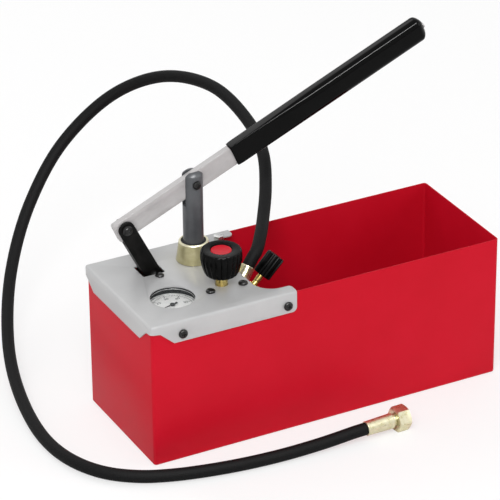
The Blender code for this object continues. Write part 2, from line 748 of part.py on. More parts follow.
def plate_trims(fold_out):
    """Cutters for the flanges' trimmed corners and the rounded corner at their right end."""
    side = trim_outline(TRIM_SIDE_BEND, TRIM_SIDE_BEND_DROP, TRIM_SIDE_RUN)
    far = trim_outline(TRIM_FAR_BEND, TRIM_FAR_BEND_DROP, TRIM_FAR_RUN)
    reach = fold_out + GAP
    front_corner = from_corner(-fold_out, -fold_out, PLATE_TOP)
    rear_corner = from_corner(-fold_out, TANK_WIDTH + fold_out, PLATE_TOP)
    trims = [
        prism("trim_front", [side], -reach, OVERRUN, basis(front_corner, ALONG_X, UP, TOWARDS_FRONT)),
        prism("trim_rear", [side], -OVERRUN, reach, basis(rear_corner, ALONG_X, UP, TOWARDS_FRONT)),
        prism("trim_end_near", [side], -OVERRUN, reach, basis(front_corner, ALONG_Y, UP, ALONG_X)),
        prism("trim_end_far", [far], -reach, OVERRUN, basis(rear_corner, TOWARDS_FRONT, UP, -ALONG_X)),
    ]
    radius = FLANGE_CORNER_RADIUS
    outline = arc(-radius, radius - FLANGE_DROP, radius, 0, -90)
    outline += [
        (-radius, -FLANGE_DROP - OVERRUN), (OVERRUN, -FLANGE_DROP - OVERRUN),
        (OVERRUN, radius - FLANGE_DROP),
    ]
    end = from_corner(PLATE_REACH, 0, PLATE_TOP)
    width = TANK_WIDTH + fold_out + OVERRUN
    frame = basis(end, ALONG_X, UP, TOWARDS_FRONT)
    trims.append(prism("trim_right", [outline], -width, fold_out + OVERRUN, frame))
    return trims


def plate_openings():
    """Cutters for the hollow edge, the gauge, the valve, the gland, the link and the top screws."""
    corner = Matrix.Translation(from_corner(0, 0, PLATE_BOTTOM))
    low, high = -OVERRUN, PLATE_SHEET + OVERRUN
    half_slot = SLOT_WIDTH / 2
    slot = rounded_rectangle(
        SLOT_START_ALONG, SLOT_END_ALONG, PUMP_ACROSS - half_slot, PUMP_ACROSS + half_slot,
        SLOT_CORNER_RADIUS,
    )
    openings = [
        prism("edge_cut", [plate_cut_outline()], low, high, corner),
        prism("link_slot", [slot], low, high, corner),
    ]
    bracket_rows = (PUMP_ACROSS - BRACKET_SCREW_OFFSET, PUMP_ACROSS + BRACKET_SCREW_OFFSET)
    holes = [
        ("gauge_hole", GAUGE_ALONG, GAUGE_ACROSS, GAUGE_HOLE_RADIUS, ROUND_SIDES),
        ("valve_hole", SHUTOFF_ALONG, SHUTOFF_ACROSS, BONNET_RADIUS + GAP, SMALL_SIDES),
        ("gland_hole", PUMP_ALONG, PUMP_ACROSS, GLAND_BORE_RADIUS, ROUND_SIDES),
    ]
    small = SCREW_SHANK_RADIUS + GAP
    for i, across in enumerate(bracket_rows):
        holes.append((f"bracket_screw_hole_{i}", BRACKET_SCREW_ALONG, across, small, DRILL_SIDES))
    for i, along in enumerate((BLOCK_SCREW_LEFT_ALONG, BLOCK_SCREW_RIGHT_ALONG)):
        holes.append((f"block_screw_hole_{i}", along, BLOCK_SCREW_ACROSS, small, DRILL_SIDES))
    for name, along, across, radius, sides in holes:
        place = from_corner(along, across, PLATE_TOP)
        openings.append(drill(name, place, UP, radius, PLATE_SHEET + OVERRUN, sides))
    return openings


def make_screw(name, place, outward, head_radius, head_height, length, recessed, finish):
    """A screw with a domed head, its seat at the place and its shank running inwards."""
    brim = head_height * SCREW_BRIM_SHARE
    crown = head_height * SCREW_CROWN_SHARE
    shoulder = head_radius * math.cos(math.radians(45))
    profile = [(0, head_height)]
    profile += [(shoulder, crown), (head_radius, brim), (head_radius, 0)]
    profile += [(SCREW_SHANK_RADIUS, 0), (SCREW_SHANK_RADIUS, -length), (0, -length)]
    frame = aim(place, outward)
    screw = turned(name, profile, frame, finish, SMALL_SIDES)
    if recessed:
        half_long, half_wide = RECESS_LENGTH / 2, RECESS_WIDTH / 2
        for i, (x, y) in enumerate(((half_long, half_wide), (half_wide, half_long))):
            low = Vector((-x, -y, head_height - RECESS_DEPTH))
            cut(screw, box(f"{name}_recess_{i}", low, Vector((x, y, head_height + OVERRUN)), frame))
    return screw


def make_screws():
    """Four screws in the flanges, two in the block and two round-headed ones in the bracket."""
    fold_out = GAP + PLATE_SHEET + GAP
    sides = (("front", -fold_out, TOWARDS_FRONT), ("rear", TANK_WIDTH + fold_out, ALONG_Y))
    ends = (("left", COVER_SCREW_LEFT_ALONG), ("right", COVER_SCREW_RIGHT_ALONG))
    for side, across, outward in sides:
        for end, along in ends:
            make_screw(
                f"cover_screw_{side}_{end}", from_corner(along, across, COVER_SCREW_HEIGHT), outward,
                SCREW_HEAD_RADIUS, SCREW_HEAD_HEIGHT, COVER_SCREW_LENGTH, True, "black_steel",
            )
    for end, along in (("left", BLOCK_SCREW_LEFT_ALONG), ("right", BLOCK_SCREW_RIGHT_ALONG)):
        make_screw(
            f"block_screw_{end}", from_corner(along, BLOCK_SCREW_ACROSS, PLATE_TOP + GAP), UP,
            SCREW_HEAD_RADIUS, SCREW_HEAD_HEIGHT, BLOCK_SCREW_LENGTH, True, "black_steel",
        )
    for side, offset in (("front", -BRACKET_SCREW_OFFSET), ("rear", BRACKET_SCREW_OFFSET)):
        make_screw(
            f"bracket_screw_{side}",
            from_corner(BRACKET_SCREW_ALONG, PUMP_ACROSS + offset, PLATE_TOP + GAP), UP,
            BRACKET_SCREW_HEAD_RADIUS, BRACKET_SCREW_HEAD_HEIGHT, BRACKET_SCREW_LENGTH, False,
            "bright_steel",
        )


PUMP_AXIS = from_corner(PUMP_ALONG, PUMP_ACROSS, 0)
SHUTOFF_AXIS = from_corner(SHUTOFF_ALONG, SHUTOFF_ACROSS, 0)
GAUGE_AXIS = from_corner(GAUGE_ALONG, GAUGE_ACROSS, 0)
DELIVERY_AXIS = from_corner(DELIVERY_ALONG, DELIVERY_ACROSS, 0)
RELEASE_AXIS = Vector((math.sin(RELEASE_TILT), 0, math.cos(RELEASE_TILT)))
RELEASE_FACE = from_corner(RELEASE_ALONG, RELEASE_ACROSS, RELEASE_HEIGHT)
PORT_AXIS = HOSE_PORT_LEAN.normalized()
PORT_END = from_corner(HOSE_PORT_ALONG, HOSE_PORT_ACROSS, HOSE_PORT_HEIGHT)
PORT_FACE = PORT_END - PORT_AXIS * (FERRULE_LENGTH + NIPPLE_HEX_HEIGHT + GAP)


def make_block():
    """The block that joins the barrel, the valves, the gauge and the hose under the plate."""
    low = from_corner(BLOCK_START_ALONG, BLOCK_START_ACROSS, BLOCK_BOTTOM)
    high = from_corner(BLOCK_END_ALONG, BLOCK_END_ACROSS, BLOCK_TOP)
    block = box("pump_block", low, high, finish="block_alloy")

    arm_half = Vector((0, DELIVERY_ARM_WIDTH / 2, 0))
    arm_start = from_corner(GALLERY_ALONG, DELIVERY_ACROSS, BLOCK_BOTTOM)
    arm_end = DELIVERY_AXIS + DELIVERY_TOP * UP
    join(block, box("block_arm", arm_start - arm_half, arm_end + arm_half))
    boss = turned("delivery_boss", disc(DELIVERY_BOSS_RADIUS, BLOCK_BOTTOM, DELIVERY_TOP),
                  Matrix.Translation(DELIVERY_AXIS))
    join(block, boss)

    reach = BLOCK_HEIGHT * 2
    face = aim(RELEASE_FACE, RELEASE_AXIS)
    wedge_start = BLOCK_START_ACROSS - RELEASE_ACROSS - OVERRUN
    wedge_end = CHAMFER_END_ACROSS - RELEASE_ACROSS
    wedge = box("chamfer_wedge", Vector((wedge_start, -reach, 0)), Vector((wedge_end, reach, reach)), face)
    spot = turned("hose_spot_face", disc(NIPPLE_FLATS / math.sqrt(3) + SPOT_FACE_MARGIN, 0, BLOCK_HEIGHT),
                  aim(PORT_FACE, PORT_AXIS))
    cut(block, wedge, spot, *block_bores())
    return block


def block_bores():
    """Cutters for the bores and drillings of the block."""
    at_pump = Matrix.Translation(PUMP_AXIS)
    rod_bore = ROD_RADIUS + 2 * GAP
    socket = BARREL_RADIUS + GAP
    profile = [
        (0, BLOCK_TOP + OVERRUN), (GLAND_BORE_RADIUS, BLOCK_TOP + OVERRUN), (GLAND_BORE_RADIUS, LIP_TOP),
        (rod_bore, LIP_TOP), (rod_bore, SOCKET_TOP), (socket, SOCKET_TOP),
        (socket, BLOCK_BOTTOM - OVERRUN), (0, BLOCK_BOTTOM - OVERRUN),
    ]
    bores = [turned("pump_bore", profile, at_pump)]
    bores.append(drill("bonnet_bore", SHUTOFF_AXIS + BLOCK_TOP * UP, UP, BONNET_RADIUS + GAP,
                       BONNET_THREAD_LENGTH))
    seat_depth = BONNET_THREAD_LENGTH + SHUTOFF_SEAT_DEPTH
    bores.append(drill("valve_seat_bore", SHUTOFF_AXIS + BLOCK_TOP * UP, UP, SHUTOFF_SEAT_RADIUS,
                       seat_depth))
    stem_place = from_corner(BLOCK_START_ALONG, GAUGE_ACROSS, STEM_HEIGHT)
    bores.append(drill("gauge_port", stem_place, -ALONG_X, STEM_RADIUS + GAP, STEM_THREAD_LENGTH + GAP))
    past_axis = BRANCH_RADIUS / 2
    bores.append(drill("cross_gallery", stem_place, -ALONG_X, BRANCH_RADIUS,
                       GALLERY_ALONG + past_axis - BLOCK_START_ALONG, DRILL_SIDES))
    bores.append(drill("release_bore", RELEASE_FACE, RELEASE_AXIS, RELEASE_THREAD_RADIUS + GAP,
                       RELEASE_BORE_DEPTH))
    bores.append(drill("hose_bore", PORT_FACE, PORT_AXIS, NIPPLE_THREAD_RADIUS + GAP,
                       NIPPLE_THREAD_LENGTH + GAP))
    delivery_top = DELIVERY_AXIS + DELIVERY_TOP * UP
    bores.append(drill("delivery_bore", delivery_top, UP, DELIVERY_BORE_RADIUS,
                       DELIVERY_TOP - DELIVERY_SEAT_HEIGHT))
    bores.append(drill("delivery_seat_bore", delivery_top, UP, DELIVERY_SEAT_RADIUS, BLOCK_HEIGHT + OVERRUN))
    gallery = disc(GALLERY_RADIUS, RELEASE_ACROSS - past_axis, DELIVERY_ACROSS + GALLERY_RADIUS)
    gallery_start = from_corner(GALLERY_ALONG, 0, GALLERY_HEIGHT)
    bores.append(turned("main_gallery", gallery, aim(gallery_start, ALONG_Y), sides=DRILL_SIDES))
    branch = disc(BRANCH_RADIUS, GALLERY_ALONG - past_axis, DELIVERY_ALONG + past_axis)
    branch_start = from_corner(0, DELIVERY_ACROSS, GALLERY_HEIGHT)
    bores.append(turned("delivery_branch", branch, aim(branch_start, ALONG_X), sides=DRILL_SIDES))
    for i, along in enumerate((BLOCK_SCREW_LEFT_ALONG, BLOCK_SCREW_RIGHT_ALONG)):
        place = from_corner(along, BLOCK_SCREW_ACROSS, BLOCK_TOP)
        bores.append(drill(f"block_screw_bore_{i}", place, UP, SCREW_SHANK_RADIUS + GAP,
                           BLOCK_SCREW_LENGTH, DRILL_SIDES))
    return bores


def make_barrel():
    """The pump cylinder, hung from the block."""
    profile = ring(BARREL_BORE_RADIUS, BARREL_RADIUS, BARREL_BOTTOM, BARREL_TOP)
    turned("barrel", profile, Matrix.Translation(PUMP_AXIS), "bright_steel")


def make_gland():
    """The flared nut that guides the rod, with a wiper in its rim and the seal under its end."""
    at_pump = Matrix.Translation(PUMP_AXIS)
    recess = GLAND_TOP - WIPER_THICKNESS - GAP
    profile = [
        (WIPER_RADIUS + GAP, GLAND_TOP), (GLAND_RIM_RADIUS - GLAND_RIM_CHAMFER, GLAND_TOP),
        (GLAND_RIM_RADIUS, GLAND_TOP - GLAND_RIM_CHAMFER), (GLAND_SKIRT_RADIUS, GLAND_SKIRT_BOTTOM),
        (GLAND_SHANK_RADIUS, GLAND_SKIRT_BOTTOM), (GLAND_SHANK_RADIUS, GLAND_BOTTOM),
        (ROD_BORE_RADIUS, GLAND_BOTTOM), (ROD_BORE_RADIUS, recess), (WIPER_RADIUS + GAP, recess),
    ]
    turned("gland", profile, at_pump, "gland_zinc")
    wiper = ring(ROD_BORE_RADIUS, WIPER_RADIUS, recess + GAP, recess + GAP + WIPER_THICKNESS)
    turned("rod_wiper", wiper, at_pump, "seal_rubber")
    seal_top = SEAL_BOTTOM + GLAND_SEAL_THICKNESS
    turned("gland_seal", ring(ROD_BORE_RADIUS, GLAND_SHANK_RADIUS, SEAL_BOTTOM, seal_top), at_pump,
           "seal_rubber")


def make_plunger():
    """The rod with its forked top, and the piston, seal and nut on the stud at its foot."""
    at_pump = Matrix.Translation(PUMP_AXIS)
    stud_bottom = ROD_SHOULDER_HEIGHT - STUD_LENGTH
    profile = [
        (0, ROD_TOP_HEIGHT), (ROD_RADIUS - ROD_TOP_CHAMFER, ROD_TOP_HEIGHT),
        (ROD_RADIUS, ROD_TOP_HEIGHT - ROD_TOP_CHAMFER), (ROD_RADIUS, ROD_SHOULDER_HEIGHT),
        (STUD_RADIUS, ROD_SHOULDER_HEIGHT), (STUD_RADIUS, stud_bottom), (0, stud_bottom),
    ]
    rod = turned("plunger_rod", profile, at_pump, "rod_steel")
    reach = ROD_RADIUS + OVERRUN
    low = Vector((-reach, -FORK_SLOT_WIDTH / 2, FORK_SLOT_BOTTOM_HEIGHT))
    high = Vector((reach, FORK_SLOT_WIDTH / 2, ROD_TOP_HEIGHT + OVERRUN))
    cut(rod, box("fork_slot", low, high, at_pump))
    at_pin = aim(PUMP_AXIS + PIN_HEIGHT * UP, TOWARDS_FRONT)
    hole, head = CLEVIS_PIN_RADIUS + GAP, CLEVIS_HEAD_RADIUS + GAP
    nut = CLEVIS_NUT_FLATS / math.sqrt(3) + GAP
    stepped = [
        (0, reach), (head, reach), (head, spot_face(head)), (hole, spot_face(head)),
        (hole, -spot_face(nut)), (nut, -spot_face(nut)), (nut, -reach), (0, -reach),
    ]
    cut(rod, turned("fork_pin_hole", stepped, at_pin, sides=SMALL_SIDES))

    bore = STUD_RADIUS + GAP
    groove_top = PISTON_BOTTOM + PISTON_GROOVE_START + PISTON_GROOVE_WIDTH
    groove_bottom = PISTON_BOTTOM + PISTON_GROOVE_START
    groove_radius = PISTON_RADIUS - PISTON_GROOVE_DEPTH
    profile = [
        (PISTON_RADIUS, PISTON_TOP), (PISTON_RADIUS, groove_top), (groove_radius, groove_top),
        (groove_radius, groove_bottom), (PISTON_RADIUS, groove_bottom),
        (PISTON_RADIUS, PISTON_BOTTOM), (bore, PISTON_BOTTOM), (bore, PISTON_TOP),
    ]
    turned("piston", profile, at_pump, "brass")
    seal = ring(groove_radius + GAP, BARREL_BORE_RADIUS - GAP, groove_bottom + GAP, groove_top - GAP)
    turned("piston_seal", seal, at_pump, "seal_rubber")
    nut_top = PISTON_BOTTOM - GAP
    make_nut("piston_nut", PISTON_NUT_FLATS, bore, nut_top - PISTON_NUT_HEIGHT, nut_top, at_pump,
             "bright_steel")


def spot_face(radius):
    """How far from the rod's axis a flat of this radius is cut on its round side."""
    return math.sqrt(ROD_RADIUS ** 2 - radius ** 2) - GAP


def make_nut(name, flats, bore, low, high, frame, finish):
    """A plain hexagon nut between two heights of a frame."""
    hole = arc(0, 0, bore, 0, 360 - 360 / SMALL_SIDES, SMALL_SIDES - 1)
    return prism(name, [hexagon(flats), hole], low, high, frame, finish)


LEVER_ALONG = Vector((math.cos(LEVER_ANGLE), 0, math.sin(LEVER_ANGLE)))
LEVER_UP = Vector((-math.sin(LEVER_ANGLE), 0, math.cos(LEVER_ANGLE)))
PIN_PLACE = PUMP_AXIS + PIN_HEIGHT * UP
BOLT_PLACE = PIN_PLACE - LEVER_SPAN * LEVER_ALONG
FOOT_PLACE = from_corner(LINK_FOOT_ALONG, PUMP_ACROSS, LINK_FOOT_HEIGHT)
LINK_LENGTH = (BOLT_PLACE - FOOT_PLACE).length
LINK_UP = (BOLT_PLACE - FOOT_PLACE).normalized()
LINK_SIDE = ALONG_Y.cross(LINK_UP)


def make_clevis():
    """The shoulder pin that carries the lever in the rod's fork, with its domed head and its nut."""
    at_pin = aim(PIN_PLACE, TOWARDS_FRONT)
    head_seat = spot_face(CLEVIS_HEAD_RADIUS + GAP) + GAP
    nut_seat = spot_face(CLEVIS_NUT_FLATS / math.sqrt(3) + GAP) + GAP
    head_top = head_seat + CLEVIS_HEAD_HEIGHT
    profile = [
        (0, head_top), (CLEVIS_HEAD_RADIUS / 2, head_top),
        (CLEVIS_HEAD_RADIUS, head_seat + CLEVIS_HEAD_HEIGHT / 2), (CLEVIS_HEAD_RADIUS, head_seat),
        (CLEVIS_PIN_RADIUS, head_seat), (CLEVIS_PIN_RADIUS, -nut_seat - CLEVIS_NUT_HEIGHT),
        (0, -nut_seat - CLEVIS_NUT_HEIGHT),
    ]
    turned("clevis_pin", profile, at_pin, "black_steel", SMALL_SIDES)
    make_nut("clevis_nut", CLEVIS_NUT_FLATS, CLEVIS_PIN_RADIUS + GAP, -nut_seat - CLEVIS_NUT_HEIGHT,
             -nut_seat, at_pin, "black_steel")


def grip_sections():
    """The grip's sections along the bar: each its place, height, thickness and edge radius."""
    sections = []
    for share in GRIP_SWELL_SHARES:
        sections.append((
            GRIP_START + GRIP_SWELL_LENGTH * share,
            GRIP_MOUTH_HEIGHT + (GRIP_HEIGHT - GRIP_MOUTH_HEIGHT) * share,
            GRIP_MOUTH_THICKNESS + (GRIP_THICKNESS - GRIP_MOUTH_THICKNESS) * share,
            GRIP_MOUTH_EDGE_RADIUS + (GRIP_EDGE_RADIUS - GRIP_MOUTH_EDGE_RADIUS) * share,
        ))
    for step in range(GRIP_END_STEPS + 1):
        turn = math.radians(90) * step / GRIP_END_STEPS
        drawn_in = GRIP_END_RADIUS * (1 - math.cos(turn))
        place = GRIP_END - GRIP_END_RADIUS * (1 - math.sin(turn))
        edge = max(GRIP_EDGE_RADIUS - drawn_in, GRIP_MOUTH_EDGE_RADIUS)
        narrowed = 2 * drawn_in
        sections.append((place, GRIP_HEIGHT - narrowed, GRIP_THICKNESS - narrowed, edge))
    return sections


def loft(name, sections, frame, finish):
    """A solid through rounded rectangles along local X, closed flat at both ends."""
    shape = bmesh.new()
    loops = []
    for along, height, thickness, radius in sections:
        outline = rounded_rectangle(-height / 2, height / 2, -thickness / 2, thickness / 2, radius)
        loops.append([shape.verts.new((along, y, z)) for y, z in outline])
    count = len(loops[0])
    for near, far in zip(loops, loops[1:]):
        for i in range(count):
            after = (i + 1) % count
            shape.faces.new((near[i], near[after], far[after], far[i]))
    shape.faces.new(loops[0])
    shape.faces.new(loops[-1])
    bmesh.ops.recalc_face_normals(shape, faces=shape.faces)
    return placed(name, mesh_from(name, shape), frame, finish)


def make_lever():
    """The flat bar, narrower inside its grip, drilled for the fork's pin and for the link's bolt."""
    frame = basis(PIN_PLACE, LEVER_ALONG, LEVER_UP, TOWARDS_FRONT)
    left = -LEVER_SPAN - LEVER_END_BEYOND_BOLT
    half, half_tang, radius = LEVER_HEIGHT / 2, TANG_HEIGHT / 2, LEVER_CORNER_RADIUS
    shoulder = GRIP_START - GAP
    outline = [(shoulder, -half), (shoulder, -half_tang), (TANG_END, -half_tang)]
    outline += [(TANG_END, half_tang), (shoulder, half_tang), (shoulder, half)]
    outline += arc(left + radius, half - radius, radius, 90, 180)
    outline += arc(left + radius, radius - half, radius, 180, 270)
    pin_hole = arc(0, 0, CLEVIS_PIN_RADIUS + GAP, 0, 360 - 360 / SMALL_SIDES, SMALL_SIDES - 1)
    bolt_radius = LINK_BOLT_RADIUS + OPEN_PIVOT_CLEARANCE
    bolt_hole = arc(-LEVER_SPAN, 0, bolt_radius, 0, 360 - 360 / ROUND_SIDES, ROUND_SIDES - 1)
    thick = LEVER_THICKNESS / 2
    prism("lever_bar", [outline, pin_hole, bolt_hole], -thick, thick, frame, "lever_grey")

    grip = loft("lever_grip", grip_sections(), frame, "grip_rubber")
    pocket_half = Vector((0, half_tang + GAP, thick + GAP))
    pocket_low = Vector((GRIP_START - OVERRUN, 0, 0)) - pocket_half
    pocket_high = Vector((TANG_END + GAP, 0, 0)) + pocket_half
    cut(grip, box("grip_pocket", pocket_low, pocket_high, frame))


def make_link():
    """The folded channel from the lever's end down to its bracket, its web on the outer side."""
    frame = basis(FOOT_PLACE, LINK_UP, LINK_SIDE, ALONG_Y)
    half_width, half_depth = LINK_WIDTH / 2, LINK_OUTER_WIDTH / 2
    outline = arc(0, 0, half_width, 90, 270) + arc(LINK_LENGTH, 0, half_width, -90, 90)
    link = prism("link", [outline], -half_depth, half_depth, frame, "black_steel")
    web = LINK_SHEET - half_width
    web_end = LINK_LENGTH - LINK_WEB_START_BELOW_BOLT
    far, low, high = LINK_LENGTH + half_width + OVERRUN, -half_width - OVERRUN, half_width + OVERRUN
    inside = [(low, web), (web_end, web), (web_end, low), (far, low), (far, high), (low, high)]
    half_inner = LINK_INNER_WIDTH / 2
    cut(link, prism("link_inside", [inside], -half_inner, half_inner, frame))
    reach = half_depth + OVERRUN
    foot_hole = disc(FOOT_PIN_RADIUS + GAP, -reach, reach)
    cut(link, turned("link_foot_hole", foot_hole, aim(FOOT_PLACE, ALONG_Y), sides=SMALL_SIDES))
    bolt_hole = disc(LINK_BOLT_RADIUS + GAP, -reach, reach)
    cut(link, turned("link_bolt_hole", bolt_hole, aim(BOLT_PLACE, ALONG_Y), sides=SMALL_SIDES))


def make_link_bolt():
    """The bolt at the link's head, its nut at the back."""
    frame = aim(BOLT_PLACE, TOWARDS_FRONT)
    seat = LINK_OUTER_WIDTH / 2 + GAP
    top = seat + LINK_BOLT_HEAD_HEIGHT
    end = -seat - LINK_NUT_HEIGHT
    profile = [
        (0, top), (LINK_BOLT_HEAD_RADIUS / 2, top),
        (LINK_BOLT_HEAD_RADIUS, seat + LINK_BOLT_HEAD_HEIGHT / 2), (LINK_BOLT_HEAD_RADIUS, seat),
        (LINK_BOLT_RADIUS, seat), (LINK_BOLT_RADIUS, end), (0, end),
    ]
    turned("link_top_bolt", profile, frame, "black_steel", SMALL_SIDES)
    make_nut("link_top_nut", LINK_NUT_FLATS, LINK_BOLT_RADIUS + GAP, end, -seat, frame, "black_steel")


def make_link_bracket():
    """The bracket under the plate, the headed pin across it and the spacers beside the link."""
    flange_top = PLATE_BOTTOM - GAP
    frame = basis(from_corner(LINK_FOOT_ALONG, PUMP_ACROSS, flange_top), ALONG_Y, UP, ALONG_X)
    sheet, reach, deep = BRACKET_SHEET, BRACKET_FLANGE_REACH, BRACKET_DEPTH
    inner = SLOT_WIDTH / 2 + GAP
    outline = [
        (-reach, 0), (-reach, -sheet), (-inner - sheet, -sheet), (-inner - sheet, -deep),
        (inner + sheet, -deep), (inner + sheet, -sheet), (reach, -sheet), (reach, 0),
        (inner, 0), (inner, sheet - deep), (-inner, sheet - deep), (-inner, 0),
    ]
    half = BRACKET_WIDTH / 2
    bracket = prism("link_bracket", [outline], -half, half, frame, "black_steel")
    at_foot = aim(FOOT_PLACE, TOWARDS_FRONT)
    cheek = inner + sheet
    hole = disc(FOOT_PIN_RADIUS + GAP, -cheek - OVERRUN, cheek + OVERRUN)
    cut(bracket, turned("bracket_pin_hole", hole, at_foot, sides=SMALL_SIDES))
    for i, offset in enumerate((-BRACKET_SCREW_OFFSET, BRACKET_SCREW_OFFSET)):
        place = from_corner(BRACKET_SCREW_ALONG, PUMP_ACROSS + offset, flange_top)
        cut(bracket, drill(f"bracket_drill_{i}", place, UP, SCREW_SHANK_RADIUS + GAP,
                           BRACKET_SHEET + OVERRUN, DRILL_SIDES))
    seat = cheek + GAP
    end = seat + FOOT_PIN_HEAD_THICKNESS
    profile = [
        (0, end), (FOOT_PIN_HEAD_RADIUS, end), (FOOT_PIN_HEAD_RADIUS, seat), (FOOT_PIN_RADIUS, seat),
        (FOOT_PIN_RADIUS, -seat), (FOOT_PIN_HEAD_RADIUS, -seat), (FOOT_PIN_HEAD_RADIUS, -end), (0, -end),
    ]
    turned("link_foot_pin", profile, at_foot, "bright_steel", SMALL_SIDES)
    spacer_start, spacer_end = LINK_OUTER_WIDTH / 2 + GAP, inner - GAP
    for side, sign in (("front", 1), ("rear", -1)):
        ends = sorted((sign * spacer_start, sign * spacer_end))
        turned(f"link_spacer_{side}", ring(FOOT_PIN_RADIUS + GAP, SPACER_RADIUS, *ends), at_foot,
               "bright_steel", SMALL_SIDES)


def make_gauge():
    """The gauge under its hole in the plate: case, bezel, lens, dial, needle and stem."""
    at_gauge = Matrix.Translation(GAUGE_AXIS)
    inner = GAUGE_CASE_RADIUS - GAUGE_CASE_WALL
    ledge = inner - GAUGE_LEDGE_WIDTH
    ledge_top = DIAL_TOP - DIAL_THICKNESS - GAP
    floor = GAUGE_CASE_BOTTOM + GAUGE_CASE_FLOOR
    profile = [
        (0, floor), (ledge, floor), (ledge, ledge_top), (inner, ledge_top), (inner, CASE_TOP),
        (GAUGE_CASE_RADIUS, CASE_TOP), (GAUGE_CASE_RADIUS, GAUGE_CASE_BOTTOM), (0, GAUGE_CASE_BOTTOM),
    ]
    case = turned("gauge_case", profile, at_gauge, "black_steel")
    stem_axis = aim(GAUGE_AXIS + STEM_HEIGHT * UP, ALONG_X)
    wall_hole = disc(STEM_RADIUS + GAP, ledge - OVERRUN, GAUGE_CASE_RADIUS + OVERRUN)
    cut(case, turned("stem_hole", wall_hole, stem_axis, sides=SMALL_SIDES))

    skirt_inner = GAUGE_CASE_RADIUS + GAP
    skirt_outer = skirt_inner + BEZEL_WALL
    profile = [
        (BEZEL_LIP_RADIUS, BEZEL_TOP), (skirt_outer, BEZEL_TOP), (skirt_outer, BEZEL_TOP - BEZEL_HEIGHT),
        (skirt_inner, BEZEL_TOP - BEZEL_HEIGHT), (skirt_inner, BEZEL_TOP - BEZEL_LIP_THICKNESS),
        (BEZEL_LIP_RADIUS, BEZEL_TOP - BEZEL_LIP_THICKNESS),
    ]
    turned("gauge_bezel", profile, at_gauge, "black_steel")
    turned("gauge_lens", disc(GAUGE_CASE_RADIUS - GAP, LENS_TOP - LENS_THICKNESS, LENS_TOP), at_gauge,
           "clear_lens")
    dial = ring(ARBOR_RADIUS + GAP, inner - GAP, DIAL_TOP - DIAL_THICKNESS, DIAL_TOP)
    turned("gauge_dial", dial, at_gauge, "dial_white")
    make_needle()
    make_gauge_stem(stem_axis, ledge)


def make_needle():
    """The pointer with its hub, on the arbor that comes up through the dial."""
    heading = Vector((math.cos(NEEDLE_HEADING), math.sin(NEEDLE_HEADING), 0))
    frame = basis(GAUGE_AXIS, heading, UP.cross(heading), UP)
    low = DIAL_TOP + NEEDLE_ABOVE_DIAL
    high = low + NEEDLE_THICKNESS
    half = NEEDLE_WIDTH / 2
    hub_low = DIAL_TOP + GAP
    profile = [
        (0, high + NEEDLE_THICKNESS), (NEEDLE_HUB_RADIUS, high + NEEDLE_THICKNESS),
        (NEEDLE_HUB_RADIUS, hub_low), (ARBOR_RADIUS, hub_low),
        (ARBOR_RADIUS, DIAL_TOP - ARBOR_BELOW_DIAL), (0, DIAL_TOP - ARBOR_BELOW_DIAL),
    ]
    needle = turned("gauge_needle", profile, frame, "black_plastic", SMALL_SIDES)
    outline = [(NEEDLE_REACH, 0), (0, half), (-NEEDLE_TAIL, half), (-NEEDLE_TAIL, -half), (0, -half)]
    join(needle, prism("needle_pointer", [outline], low, high, frame))


def make_gauge_stem(stem_axis, ledge):
    """The gauge's threaded stem, with its hexagon between the case and the block."""
    hex_start = GAUGE_CASE_RADIUS + GAP
    hex_end = BLOCK_START_ALONG - GAUGE_ALONG - GAP
    shaft = disc(STEM_RADIUS, ledge, hex_end + STEM_THREAD_LENGTH)
    stem = turned("gauge_stem", shaft, stem_axis, "brass", SMALL_SIDES)
    join(stem, prism("stem_hexagon", [hexagon(STEM_FLATS)], hex_start, hex_end, stem_axis))
    passage = disc(GALLERY_RADIUS, ledge - OVERRUN, hex_end + STEM_THREAD_LENGTH + OVERRUN)
    cut(stem, turned("stem_passage", passage, stem_axis, sides=DRILL_SIDES))


def fluted(piece, ribs, depth, inner, low=-math.inf, high=math.inf):
    """Draw a turned piece in between its ribs, outside a radius and from one height to another."""
    for vertex in piece.data.vertices:
        reach = vertex.co.xy.length
        if low <= vertex.co.z <= high and reach > inner:
            turn = math.atan2(vertex.co.y, vertex.co.x) * ribs
            vertex.co.xy *= 1 - depth * (1 - math.cos(turn)) / 2 / reach
    return piece


